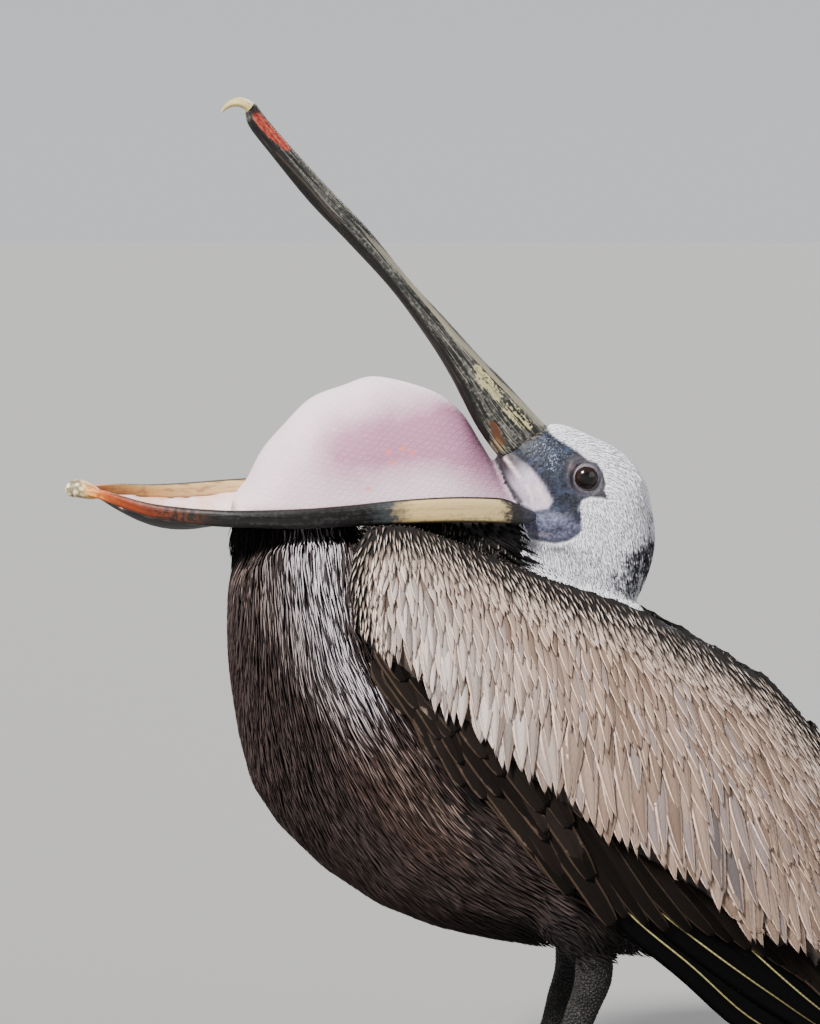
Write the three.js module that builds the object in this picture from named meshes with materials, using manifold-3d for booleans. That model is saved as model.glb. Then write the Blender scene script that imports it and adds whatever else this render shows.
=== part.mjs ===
// Brown pelican, life size, standing with its head thrown back and its pouch stretched over the bend of the neck.
// Millimetres. +X is forward, +Y the bird's left, +Z up. The soles rest on z = 0.
import * as THREE from 'three';
import { mergeVertices } from 'three/addons/utils/BufferGeometryUtils.js';
import Module from 'manifold-3d';

const wasm = await Module();
wasm.setup();

// Driving sizes
const SEAM = 0.4; // clearance between neighbouring pieces
const SMOOTHED = 0.14; // slivers thinner than this are merged after a cut
const LEAN = THREE.MathUtils.degToRad(10); // the head leans towards the bird's left
const JAW_LEVEL = 410; // height of the plane of the lower jaw
const EYE_RADIUS = 9.8;
const EYE_X = 10.2;
const EYE_UP = 19.5; // above the plane of the lower jaw
const EYE_OUT = 17.6; // from the middle of the head
const WEB_THICKNESS = 2.2;
const STANCE = 50; // each foot from the middle
const FOOT_X = 30;

const LEFT = 1;
const RIGHT = -1;

// Smooth curve through rows of numbers, t from 0 to 1 over the whole list.
function blend(rows, t) {
  const s = t * (rows.length - 1);
  const i = Math.min(Math.floor(s), rows.length - 2);
  const f = s - i;
  const before = rows[Math.max(i - 1, 0)];
  const after = rows[Math.min(i + 2, rows.length - 1)];
  return rows[i].map((start, c) => {
    const end = rows[i + 1][c];
    const leave = (end - before[c]) / 2;
    const arrive = (after[c] - start) / 2;
    const bend = 3 * (end - start) - 2 * leave - arrive;
    const settle = leave + arrive - 2 * (end - start);
    return start + f * (leave + f * (bend + f * settle));
  });
}

// Closed surface over rings that all hold the same number of points, with flat ends.
function wrap(rings) {
  const around = rings[0].length;
  const points = rings.flat();
  const index = [];
  for (let i = 0; i < rings.length - 1; i++) {
    for (let k = 0; k < around; k++) {
      const a = i * around + k;
      const b = i * around + ((k + 1) % around);
      index.push(a, b, a + around, b, b + around, a + around);
    }
  }
  for (const end of [0, rings.length - 1]) {
    const middle = new THREE.Vector3();
    rings[end].forEach((p) => middle.addScaledVector(p, 1 / around));
    points.push(middle);
    for (let k = 0; k < around; k++) {
      const a = end * around + k;
      const b = end * around + ((k + 1) % around);
      index.push(points.length - 1, ...(end === 0 ? [b, a] : [a, b]));
    }
  }
  const geometry = new THREE.BufferGeometry().setFromPoints(points);
  geometry.setIndex(index);
  return facingOut(geometry);
}

// Turns every face round where the surface encloses a negative volume.
function facingOut(geometry) {
  const p = geometry.getAttribute('position');
  const at = (i) => new THREE.Vector3().fromBufferAttribute(p, i);
  const index = Array.from(geometry.index.array);
  let volume = 0;
  for (let i = 0; i < index.length; i += 3) {
    volume += at(index[i]).dot(at(index[i + 1]).cross(at(index[i + 2])));
  }
  if (volume < 0) {
    geometry.setIndex(index.reverse());
  }
  return geometry;
}

// Body given by stations: [back x, back z, belly x, belly z, half width, side shift].
// Each section is an oval between the back point and the belly point; higher square makes it boxier.
function loft(rows, { around = 20, along = 16, square = 2, section = null } = {}) {
  const rings = [];
  for (let i = 0; i <= along; i++) {
    const [bx, bz, vx, vz, half, side = 0] = blend(rows, i / along);
    const ring = [];
    for (let k = 0; k < around; k++) {
      const angle = (k / around) * 2 * Math.PI;
      const [across, up] = section ? section(angle) : oval(angle, square);
      const x = (bx + vx) / 2 + (up * (bx - vx)) / 2;
      const z = (bz + vz) / 2 + (up * (bz - vz)) / 2;
      ring.push(new THREE.Vector3(x, side + across * half, z));
    }
    rings.push(ring);
  }
  return wrap(rings);
}

function oval(angle, square) {
  const part = (v) => Math.sign(v) * Math.abs(v) ** (2 / square);
  return [part(Math.cos(angle)), part(Math.sin(angle))];
}

// Upper bill section: a raised ridge along the middle, flatter flanks and down-turned cutting edges.
function billSection(angle) {
  const across = Math.cos(angle);
  const up = Math.sin(angle);
  if (up >= 0) {
    return [across, 0.62 * up ** 2.6 + 0.38 * up - 0.25 * (1 - up)];
  }
  return [across * 0.94, -0.25 + 0.5 * up - 0.25 * Math.abs(Math.sin(2 * angle))];
}

// Curved plate given by stations: [upper x, upper z, lower x, lower z, upper y, lower y, bulge, thickness].
// It bows outwards between its two edges and thins towards both.
function plate(rows, { across = 10, along = 14 } = {}) {
  const rings = [];
  for (let i = 0; i <= along; i++) {
    const [ux, uz, lx, lz, uy, ly, bulge, thick] = blend(rows, i / along);
    const outer = [];
    const inner = [];
    for (let k = 0; k <= across; k++) {
      const v = 0.5 - 0.5 * Math.cos((Math.PI * k) / across);
      const arch = 4 * v * (1 - v);
      const y = uy + (ly - uy) * v + bulge * arch;
      const x = ux + (lx - ux) * v;
      const z = uz + (lz - uz) * v;
      outer.push(new THREE.Vector3(x, y, z));
      if (k > 0 && k < across) {
        inner.unshift(new THREE.Vector3(x, y - thick * arch ** 0.4, z));
      }
    }
    rings.push([...outer, ...inner]);
  }
  return wrap(rings);
}

// The same shape, larger by a margin on every side, used to cut a seam into a neighbour.
function swell(geometry, margin = SEAM) {
  const grown = bare(geometry);
  grown.computeVertexNormals();
  const p = grown.getAttribute('position');
  const n = grown.getAttribute('normal');
  for (let i = 0; i < p.count; i++) {
    p.setXYZ(i, p.getX(i) + n.getX(i) * margin, p.getY(i) + n.getY(i) * margin, p.getZ(i) + n.getZ(i) * margin);
  }
  grown.deleteAttribute('normal');
  return grown;
}

// Positions alone, with the vertices of neighbouring faces shared.
function bare(geometry) {
  const plain = geometry.clone();
  plain.deleteAttribute('normal');
  plain.deleteAttribute('uv');
  return mergeVertices(plain, 0.001);
}

function solid(geometry) {
  const merged = bare(geometry);
  return new wasm.Manifold(
    new wasm.Mesh({
      numProp: 3,
      vertProperties: merged.getAttribute('position').array,
      triVerts: new Uint32Array(merged.index.array),
    }),
  );
}

function shape(manifold) {
  const mesh = manifold.getMesh();
  const geometry = new THREE.BufferGeometry();
  geometry.setAttribute('position', new THREE.BufferAttribute(mesh.vertProperties, 3));
  geometry.setIndex(Array.from(mesh.triVerts));
  return geometry;
}

// The largest single piece that is left of a body after its cutters are taken away.
function carve(body, ...cutters) {
  const left = cutters.reduce((rest, cutter) => rest.subtract(solid(cutter)), solid(body));
  const pieces = left.decompose().sort((a, b) => b.volume() - a.volume());
  return shape(pieces[0].simplify(SMOOTHED));
}

function join(...bodies) {
  return shape(bodies.map(solid).reduce((sum, body) => sum.add(body)));
}

function placed(geometry, matrix) {
  return geometry.clone().applyMatrix4(matrix);
}

function mirrored(geometry) {
  const other = geometry.clone().applyMatrix4(new THREE.Matrix4().makeScale(1, -1, 1));
  return facingOut(bare(other));
}

function box(width, depth, height, x, y, z) {
  return new THREE.BoxGeometry(width, depth, height).translate(x, y, z);
}

const COLOURS = {
  dark_feather: ['#4a3a37', 0.9],
  pale_feather: ['#a8998f', 0.85],
  quill_feather: ['#2b2422', 0.75],
  white_feather: ['#e4e2e2', 0.9],
  bill_horn: ['#4b4a47', 0.45],
  jaw_horn: ['#8d7a45', 0.45],
  nail_horn: ['#d8c98c', 0.4],
  pouch_skin: ['#dcb9c0', 0.55],
  eye: ['#1c1514', 0.08],
  leg_skin: ['#2f3133', 0.6],
  claw_horn: ['#1d1b1a', 0.4],
};

const group = new THREE.Group();
const head_group = new THREE.Group();
head_group.position.set(0, 0, JAW_LEVEL);
head_group.rotation.x = -LEAN;
head_group.updateMatrix();
group.add(head_group);

function add(parent, name, geometry, colour) {
  const [color, roughness] = COLOURS[colour];
  const material = new THREE.MeshStandardMaterial({ color, roughness, metalness: 0 });
  const mesh = new THREE.Mesh(geometry, material);
  mesh.name = name;
  parent.add(mesh);
}

// ---- Trunk, tail and neck, in the part's own frame ----

const trunk_full = loft(
  [
    [237, 374, 256, 365, 8],
    [227, 382, 260, 349, 40],
    [210, 387, 261, 324, 62],
    [182, 387, 260, 293, 76],
    [140, 376, 255, 258, 84],
    [91, 354, 245, 212, 88],
    [42, 334, 217, 172, 88],
    [-7, 324, 168, 132, 86],
    [-49, 311, 112, 108, 82],
    [-91, 292, 56, 97, 76],
    [-130, 256, 0, 90, 66],
    [-156, 212, -52, 86, 52],
    [-166, 166, -94, 86, 36],
    [-160, 132, -118, 92, 16],
  ],
  { around: 22, along: 18, square: 2.5 },
);

const tail_full = loft(
  [
    [-118, 134, -84, 96, 22],
    [-146, 100, -124, 70, 28],
    [-174, 62, -162, 45, 32],
    [-196, 36, -189, 24, 34],
    [-208, 20, -204, 13, 31],
  ],
  { around: 10, along: 5, square: 3 },
);

// Front limb of the neck loop, from the breast up to the jaw.
const neck_base_full = loft(
  [
    [163, 330, 240, 330, 32],
    [165, 365, 258, 362, 31],
    [168, 392, 260, 388, 29],
    [172, 420, 254, 420, 26],
  ],
  { around: 14, along: 4 },
);

// Rear limb, from under the jaw back along the shoulders to the nape.
const neck_upper_full = loft(
  [
    [50, 407, 137, 408, 24],
    [46, 387, 135, 375, 26],
    [42, 372, 104, 338, 27],
    [34, 363, 70, 312, 28],
    [20, 354, 30, 298, 28],
    [0, 349, -3, 293, 27],
    [-20, 341, -27, 303, 23],
    [-31, 333, -35, 317, 12],
  ],
  { around: 14, along: 11 },
);

// ---- Head, bill and pouch, in the leaning frame of the head ----

// Mirror-image pair of rings down the ramus: side shift follows the bow of the jaw.
const ramus_rows = [
  [363, 8.5, 362, 3.5, 3, 2.5],
  [350, 7.5, 350, 1.5, 3.2, 8],
  [336, 6, 336, -1, 3.4, 18],
  [315, 3, 315, -5, 3.6, 29.5],
  [294, 2, 294, -7, 3.6, 38],
  [270, 2, 270, -9, 3.6, 46.5],
  [248, 2.5, 248, -9.5, 3.6, 51],
  [210, 4, 210, -10, 3.7, 53],
  [175, 6, 175, -9, 3.7, 50],
  [140, 9, 140, -8, 3.8, 47],
  [105, 10, 105, -8, 3.9, 42],
  [75, 8, 75, -10, 3.9, 35],
  [54, 3.5, 54, -12, 3.7, 29],
  [43, -1, 43, -9, 2.2, 27],
];
const ramus_full = loft(ramus_rows, { around: 8, along: 17, square: 2.6 });

const jaw_knob = loft(
  [
    [374, 8, 374, 4, 1.5],
    [371, 11.5, 371, 1, 5],
    [364, 13, 364, 0, 6.6],
    [356, 10, 356, -1, 6],
    [350, 6, 350, 0, 3],
  ],
  { around: 8, along: 6 },
);

// Stretched dome of the pouch: full egg first, then trimmed at the jaw.
const egg = loft(
  [
    [258, -3, 258, -7, 8],
    [254, 4, 254, -14, 24],
    [247, 13, 247, -24, 35],
    [237, 33, 237, -44, 43],
    [223, 50, 223, -60, 47],
    [203, 70.5, 203, -80, 48.5],
    [180, 80, 180, -90, 48],
    [157, 86.5, 157, -96, 46],
    [119, 77, 119, -86, 41],
    [98, 62, 98, -70, 37],
    [84, 40, 84, -50, 33],
    [70, 16, 70, -30, 28],
    [60, 0, 60, -10, 20],
  ],
  { around: 22, along: 15 },
);
const DOME_FOOT = -8;
const dome = shape(solid(egg).subtract(solid(box(400, 300, 200, 150, 0, DOME_FOOT - 100))));

// Loose floor of the pouch in front of the dome, hanging between the two sides of the jaw.
const SLACK = 14;
const SLACK_FRONT = 357;
const SLACK_BACK = 243;
function slack(geometry) {
  const p = geometry.getAttribute('position');
  for (let i = 0; i < p.count; i++) {
    const share = THREE.MathUtils.clamp((SLACK_FRONT - p.getX(i)) / (SLACK_FRONT - SLACK_BACK), 0, 1);
    const half = Math.max(50 * Math.sin(share * 0.5 * Math.PI), 6);
    const dip = SLACK * Math.sin(share * Math.PI) * Math.max(0, 1 - (p.getY(i) / half) ** 2);
    p.setZ(i, p.getZ(i) - dip);
  }
  return geometry;
}
const floor_skin = slack(
  loft(
    [
      [353, 4.5, 353, 2, 6],
      [336, 0, 336, -2.5, 17],
      [315, -3.5, 315, -6.5, 29],
      [294, -5, 294, -8, 38],
      [270, -5, 270, -8, 46],
      [248, -4, 248, -7.6, 49.5],
      [226, -3, 226, -7.6, 50],
    ],
    { around: 12, along: 7, square: 4 },
  ),
);
const pouch_full = join(dome, floor_skin);

const bill_upper_full = loft(
  [
    [39, 52.5, 73, 34.5, 16.5],
    [56, 71, 86, 53, 15],
    [70, 86.5, 97, 74, 13.5],
    [84, 100.5, 104.5, 88.4, 12.5],
    [105.3, 124.7, 119.5, 113.2, 11.5],
    [133.7, 155.9, 145.2, 148.8, 10.5],
    [161.7, 190.9, 174.6, 181.7, 10],
    [190.1, 221.1, 202.8, 211.7, 10],
    [219, 253.4, 229.3, 244.9, 10.5],
    [233, 270.2, 243.6, 263.8, 10.5],
    [239.8, 279.5, 246.7, 272.9, 8.5],
  ],
  { around: 12, along: 14, section: billSection },
);

const nail_full = loft(
  [
    [240.8, 279.8, 246.2, 273.6, 7.5],
    [245.9, 282.6, 247.4, 275.6, 7],
    [252.2, 283.7, 251.6, 277.2, 5.6],
    [258, 281.4, 256.1, 277, 4],
    [261.8, 277.6, 260, 275.2, 2.2],
    [263.6, 274.3, 262.6, 273.1, 0.8],
  ],
  { around: 10, along: 8 },
);

const head_full = loft(
  [
    [38.4, 51, 72.4, 34, 15],
    [27, 52.5, 71, 19, 20],
    [7, 44.5, 67, 4, 25],
    [-15, 33, 62, -13, 27.5],
    [-30, 15.5, 56, -31, 28.5],
    [-36, -5, 46, -52, 28],
    [-39, -31, 28, -69, 26],
    [-35, -52, 7, -81, 21],
    [-28, -70, -8, -83, 10],
  ],
  { around: 20, along: 13 },
);

const eye_ball = new THREE.SphereGeometry(EYE_RADIUS, 12, 8).rotateX(Math.PI / 2);
const left_eye = eye_ball.clone().translate(EYE_X, EYE_OUT, EYE_UP);
const right_eye = eye_ball.clone().translate(EYE_X, -EYE_OUT, EYE_UP);
const right_ramus_full = mirrored(ramus_full);

const head = carve(
  head_full,
  swell(left_eye),
  swell(right_eye),
  swell(bill_upper_full),
  swell(ramus_full),
  swell(right_ramus_full),
);
const pouch = carve(pouch_full, swell(ramus_full), swell(right_ramus_full), swell(head_full), swell(jaw_knob));
const ramus_left = carve(ramus_full, swell(jaw_knob));
const ramus_right = carve(right_ramus_full, swell(jaw_knob));
const nail = carve(nail_full, swell(bill_upper_full));

add(head_group, 'head', head, 'white_feather');
add(head_group, 'bill_upper', bill_upper_full, 'bill_horn');
add(head_group, 'bill_nail', nail, 'nail_horn');
add(head_group, 'mandible_tip', jaw_knob, 'nail_horn');
add(head_group, 'mandible_left', ramus_left, 'jaw_horn');
add(head_group, 'mandible_right', ramus_right, 'jaw_horn');
add(head_group, 'pouch', pouch, 'pouch_skin');
add(head_group, 'eye_left', left_eye, 'eye');
add(head_group, 'eye_right', right_eye, 'eye');

const head_cutter = placed(swell(head_full), head_group.matrix);
const pouch_cutter = placed(swell(pouch), head_group.matrix);
const rami_cutters = [ramus_full, right_ramus_full].map((ramus) => placed(swell(ramus), head_group.matrix));
const neck_cutter = swell(neck_upper_full);

const trunk = carve(trunk_full, neck_cutter, head_cutter);
const neck_base = carve(neck_base_full, swell(trunk_full), pouch_cutter, ...rami_cutters);
const neck_upper = carve(neck_upper_full, head_cutter, pouch_cutter, ...rami_cutters);
const trunk_cutter = swell(trunk_full);
const tail = carve(tail_full, trunk_cutter);

add(group, 'trunk', trunk, 'dark_feather');
add(group, 'neck_base', neck_base, 'dark_feather');
add(group, 'neck_upper', neck_upper, 'dark_feather');
add(group, 'tail', tail, 'quill_feather');

// ---- Folded wings ----

const wing_full = plate(
  [
    [164, 398, 176, 378, 80, 88, 3, 6],
    [142, 400, 179, 345, 68, 97, 12, 22],
    [112, 392, 165, 305, 54, 103, 22, 34],
    [70, 374, 121, 270, 43, 105, 28, 38],
    [21, 356, 58, 222, 38, 103, 32, 38],
    [-29, 340, -8, 173, 33, 99, 35, 36],
    [-75, 314, -60, 142, 25, 90, 36, 32],
    [-114, 294, -109, 106, 19, 78, 34, 26],
    [-152, 256, -150, 86, 14, 64, 26, 18],
    [-182, 206, -180, 72, 12, 54, 16, 12],
    [-202, 150, -198, 66, 14, 44, 8, 7],
    [-210, 104, -208, 74, 22, 36, 3, 4],
  ],
  { across: 6, along: 14 },
);

const quills_full = plate(
  [
    [178, 367, 174, 336, 90, 92, 2, 4],
    [144, 335, 160, 293, 96, 98, 3, 8],
    [105, 295, 136, 268, 98, 100, 3, 8],
    [56, 262, 105, 228, 96, 99, 3, 7],
    [0, 215, 49, 171, 90, 92, 3, 6],
    [-49, 175, -8, 115, 80, 82, 3, 5],
    [-98, 135, -56, 81, 66, 68, 2, 4],
    [-140, 98, -98, 48, 50, 53, 2, 3.4],
    [-172, 62, -142, 28, 42, 45, 1, 2.6],
    [-192, 36, -176, 21, 38, 40, 0.5, 1.8],
  ],
  { across: 4, along: 12 },
);

for (const [side, name] of [
  [LEFT, 'left'],
  [RIGHT, 'right'],
]) {
  const mine = (geometry) => (side === LEFT ? geometry : mirrored(geometry));
  const wing = carve(mine(wing_full), trunk_cutter, head_cutter, neck_cutter, pouch_cutter, ...rami_cutters);
  const quills = carve(mine(quills_full), trunk_cutter, swell(mine(wing_full)), swell(tail_full));
  add(group, `wing_${name}`, wing, 'pale_feather');
  add(group, `flight_feathers_${name}`, quills, 'quill_feather');
}

// ---- Legs ----

// Leg along z, with its ankle carried forward by reach and its side at y = 0.
function legRows(rows, reach) {
  return rows.map(([bx, bz, vx, vz, half]) => {
    const carry = (z) => reach * Math.min(z / 90, 1);
    return [bx + carry(bz), bz, vx + carry(vz), vz, half, 0];
  });
}
const thigh_rows = [
  [-30, 140, 48, 140, 26],
  [-24, 112, 42, 108, 22],
  [-14, 100, 30, 96, 15],
  [-9, 92, 22, 88, 10],
];
const shank_rows = [
  [-7, 112, 19, 112, 8],
  [-8, 92, 18, 95, 11],
  [-7, 75, 19, 74, 10],
  [1, 56, 25, 55, 8],
  [9, 38, 30, 37, 7],
  [15, 22, 37, 20, 7.5],
  [18, 12, 44, 10, 8.5],
  [22, 4, 42, 3, 7],
];

// Toes: heading from straight ahead towards the outside, length, radius at the root and at the tip.
const TOES = [
  ['inner_hind', -88, 34, 4.4, 2.6],
  ['inner', -27, 70, 5.4, 3.2],
  ['middle', 3, 96, 6, 3.4],
  ['outer', 29, 90, 5.6, 3.2],
];
const CLAW_LENGTH = 10;

function toePoint([, heading, length], share) {
  const turn = THREE.MathUtils.degToRad(heading);
  return new THREE.Vector2(Math.cos(turn) * length * share, Math.sin(turn) * length * share);
}

// A toe lies along +X: thick at the root and at each knuckle, its sole flat on the ground.
function toeBody([, heading, length, root, tip]) {
  const rows = [];
  const steps = 4;
  for (let i = 0; i <= steps; i++) {
    const share = i / steps;
    const knuckle = 1 + 0.12 * Math.cos(share * steps * Math.PI);
    const radius = (root + (tip - root) * share) * knuckle;
    rows.push([share * length, radius * 1.7, share * length, -radius * 0.4, radius]);
  }
  rows.push([length + tip * 0.8, tip, length + tip * 0.8, 0, tip * 0.4]);
  return loft(rows, { around: 7, along: 7 }).rotateZ(THREE.MathUtils.degToRad(heading));
}

// Web between neighbouring toes, its free edge drawn in between the tips.
function webBody() {
  const outline = new THREE.Shape();
  outline.moveTo(-9, -5);
  outline.lineTo(...toePoint(TOES[0], 0.92));
  for (let i = 1; i < TOES.length; i++) {
    const from = toePoint(TOES[i - 1], 0.92);
    const to = toePoint(TOES[i], 0.95);
    const pull = from.clone().add(to).multiplyScalar(i === 1 ? 0.33 : 0.44);
    outline.quadraticCurveTo(pull.x, pull.y, to.x, to.y);
  }
  outline.lineTo(-6, 6);
  outline.closePath();
  return new THREE.ExtrudeGeometry(outline, { depth: WEB_THICKNESS, bevelEnabled: false, curveSegments: 3 });
}

function clawBody([, heading, length, , tip]) {
  const start = length + tip * 0.8 - 1;
  const rows = [
    [start, tip * 1.25, start, tip * 0.15, tip * 0.5],
    [start + CLAW_LENGTH * 0.4, tip * 1.35, start + CLAW_LENGTH * 0.4, tip * 0.3, tip * 0.45],
    [start + CLAW_LENGTH * 0.8, tip * 0.85, start + CLAW_LENGTH * 0.75, tip * 0.15, tip * 0.25],
    [start + CLAW_LENGTH, tip * 0.3, start + CLAW_LENGTH * 0.98, tip * 0.12, tip * 0.08],
  ];
  return loft(rows, { around: 6, along: 3 }).rotateZ(THREE.MathUtils.degToRad(heading));
}

const below_ground = box(400, 400, 60, 0, 0, -30);

for (const [side, name, reach, step] of [
  [LEFT, 'left', 0, 0],
  [RIGHT, 'right', 12, 8],
]) {
  const mine = (geometry) => (side === LEFT ? geometry : mirrored(geometry));
  const leg = new THREE.Group();
  leg.position.set(step, side * STANCE, 0);
  leg.updateMatrix();
  const here = leg.matrix.clone().invert();
  const thigh_full = loft(legRows(thigh_rows, reach - step), { around: 12, along: 5 });
  const shank_full = loft(legRows(shank_rows, reach - step), { around: 10, along: 11 });
  const thigh = carve(thigh_full, placed(trunk_cutter, here));
  const shank = carve(shank_full, swell(thigh_full), placed(trunk_cutter, here), below_ground);
  const toes = TOES.map((toe) => mine(toeBody(toe)).translate(FOOT_X, 0, 0));
  const claws = TOES.map((toe) => mine(clawBody(toe)).translate(FOOT_X, 0, 0));
  const web = mine(bare(webBody())).translate(FOOT_X, 0, 0);
  const foot = carve(join(...toes, web), below_ground, swell(shank_full), ...claws.map((claw) => swell(claw)));
  add(leg, `thigh_${name}`, thigh, 'dark_feather');
  add(leg, `shank_${name}`, shank, 'leg_skin');
  add(leg, `foot_${name}`, foot, 'leg_skin');
  TOES.forEach(([toe], i) => add(leg, `claw_${toe}_${name}`, claws[i], 'claw_horn'));
  group.add(leg);
}

// The origin is the middle of the bird's outline on the ground.
group.updateMatrixWorld(true);
const bounds = new THREE.Box3().setFromObject(group);
const middle = bounds.getCenter(new THREE.Vector3());
const shift = new THREE.Vector3(-middle.x, -middle.y, -bounds.min.z);
group.children.forEach((child) => child.position.add(shift));

export default group;
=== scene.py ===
# %% [markdown]
# # A life-size brown pelican
# The bird stands with its head thrown back and its throat pouch stretched over the bend of its own neck.
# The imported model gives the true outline. This lesson covers it with skin, horn and many thousand feathers,
# all of them solid mesh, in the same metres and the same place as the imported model.

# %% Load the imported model
import itertools
import math

import bmesh
import bpy
import numpy as np
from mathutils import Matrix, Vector
from mathutils.bvhtree import BVHTree


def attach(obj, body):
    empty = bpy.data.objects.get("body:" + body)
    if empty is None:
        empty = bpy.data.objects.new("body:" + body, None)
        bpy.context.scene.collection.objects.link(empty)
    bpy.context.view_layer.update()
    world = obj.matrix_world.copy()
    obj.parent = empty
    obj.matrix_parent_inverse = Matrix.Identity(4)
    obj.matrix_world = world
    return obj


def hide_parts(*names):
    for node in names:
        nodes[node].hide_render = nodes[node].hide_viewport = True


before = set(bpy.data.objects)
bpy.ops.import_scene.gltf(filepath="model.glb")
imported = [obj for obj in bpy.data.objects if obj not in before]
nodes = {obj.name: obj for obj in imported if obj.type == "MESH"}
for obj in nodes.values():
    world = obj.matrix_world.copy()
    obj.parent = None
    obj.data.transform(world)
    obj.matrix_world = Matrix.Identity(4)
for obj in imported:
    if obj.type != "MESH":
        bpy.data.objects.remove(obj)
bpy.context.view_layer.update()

# %% [markdown]
# ## Camera, floor and light
# A bird's portrait is taken from its left side, a little above the back, with a long lens so that near and
# far wing have nearly the same size. The camera needs only a place, a direction and a focal length.
# Everything that is measured on the bird's side is written in columns and rows of that side view,
# where one step is 0.7 mm. It is the same ruler for the outline of a marking and for the lie of a feather.

# %% Camera
SQUARE = 0.0007
VIEW_SIZE = (820, 1024)
LOOK_AT = Vector((0.051, 0.0, 0.400))
DISTANCE = 5.0
ABOVE = math.radians(3)
SENSOR = 36


def shown(name, data):
    """A new object of the scene that holds this data."""
    ob = bpy.data.objects.new(name, data)
    bpy.context.scene.collection.objects.link(ob)
    return ob


def aimed(ob, place, way):
    """The object set at a place, looking the given way."""
    ob.location, ob.rotation_mode = place, "QUATERNION"
    ob.rotation_quaternion = way.to_track_quat("-Z", "Y")


camera_data = bpy.data.cameras.new("portrait")
camera_data.sensor_width = SENSOR
camera_data.lens = SENSOR * DISTANCE / (VIEW_SIZE[1] * SQUARE)
camera = shown("portrait", camera_data)
toward_camera = Vector((0, math.cos(ABOVE), math.sin(ABOVE)))
aimed(camera, LOOK_AT + toward_camera * DISTANCE, -toward_camera)
bpy.context.scene.camera = camera
print("focal length", round(camera_data.lens, 1))


def side_view(points):
    """Column and row of each point, as the side view shows it."""
    away = np.asarray(points, float) - np.array(LOOK_AT)
    depth = DISTANCE - away @ np.array(toward_camera)
    up = away[:, 2] * math.cos(ABOVE) - away[:, 1] * math.sin(ABOVE)
    size = DISTANCE / depth / SQUARE
    return np.stack([VIEW_SIZE[0] / 2 - away[:, 0] * size, VIEW_SIZE[1] / 2 - up * size], 1)


# %% Floor and lamps
FLOOR_CORNERS = [(-40, -40, 0), (40, -40, 0), (40, 40, 0), (-40, 40, 0)]
FLOOR_GREY = (0.262, 0.258, 0.254, 1)
LAMPS = [("key", (2.0, 2.3, 2.7), 8.6, 12, (1.0, 0.98, 0.95)),
         ("fill", (-2.6, 2.2, 1.2), 0.9, 50, (0.94, 0.97, 1.0)),
         ("back", (-0.8, -2.6, 2.4), 2.4, 30, (1, 1, 1))]
SKY_LOW, SKY_HIGH, SKY_HIGH_FROM = (0.72, 0.73, 0.75, 1), (0.30, 0.31, 0.33, 1), 0.55

floor_mesh = bpy.data.meshes.new("floor")
floor_mesh.from_pydata(FLOOR_CORNERS, [], [(0, 1, 2, 3)])
floor = shown("floor", floor_mesh)
floor_paint = bpy.data.materials.new("pale_floor")
floor_paint.use_nodes = True
floor_shader = floor_paint.node_tree.nodes["Principled BSDF"]
floor_shader.inputs["Base Color"].default_value = FLOOR_GREY
floor_shader.inputs["Roughness"].default_value = 0.9
floor.data.materials.append(floor_paint)


def lamp(name, place, strength, softness, colour):
    """A far lamp in the direction of place. Softness is how wide it looks, in degrees."""
    data = bpy.data.lights.new(name, "SUN")
    data.energy, data.angle, data.color = strength, math.radians(softness), colour
    aimed(shown(name, data), place, LOOK_AT - Vector(place))


for one_lamp in LAMPS:
    lamp(*one_lamp)

sky = bpy.data.worlds.new("soft_sky")
sky.use_nodes = True
sky_tree = sky.node_tree
sky_ramp = sky_tree.nodes.new("ShaderNodeValToRGB")
low, high = sky_ramp.color_ramp.elements
low.color, high.color, high.position = SKY_LOW, SKY_HIGH, SKY_HIGH_FROM
sky_height = sky_tree.nodes.new("ShaderNodeSeparateXYZ")
sky_place = sky_tree.nodes.new("ShaderNodeTexCoord")
sky_tree.links.new(sky_place.outputs["Generated"], sky_height.inputs[0])
sky_tree.links.new(sky_height.outputs["Z"], sky_ramp.inputs[0])
sky_tree.links.new(sky_ramp.outputs[0], sky_tree.nodes["Background"].inputs["Color"])
bpy.context.scene.world = sky

# %% [markdown]
# ## Helpers for shapes
# A bone, a bill or a toe is a body of changing oval sections, so one loft makes them all. Its table gives
# a few stations in millimetres, and a smooth curve fills in the rest. The head, bill and pouch lean
# ten degrees towards the bird's left, so their tables lie in a straight head frame first.

# %% Lofts and places
MM = 0.001
ORIGIN_X = 82.0
JAW_LEVEL = 410.0
LEAN = math.radians(10)
SIDES = (("left", 1), ("right", -1))


def smooth_rows(rows, count):
    """The table's stations, filled in to count rows by a smooth curve."""
    rows = np.array(rows, float)
    t = np.linspace(0, len(rows) - 1, count)
    i = np.minimum(t.astype(int), len(rows) - 2)
    f = (t - i)[:, None]
    start, end = rows[i], rows[i + 1]
    leave = (end - rows[np.maximum(i - 1, 0)]) / 2
    arrive = (rows[np.minimum(i + 2, len(rows) - 1)] - start) / 2
    bend = 3 * (end - start) - 2 * leave - arrive
    settle = leave + arrive - 2 * (end - start)
    return start + f * (leave + f * (bend + f * settle))


def oval(angle, square=2.0):
    """Across and up of an oval section. A square above 2 gives it flatter sides."""
    part = lambda v: np.sign(v) * np.abs(v) ** (2 / square)
    return part(np.cos(angle)), part(np.sin(angle))


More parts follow.
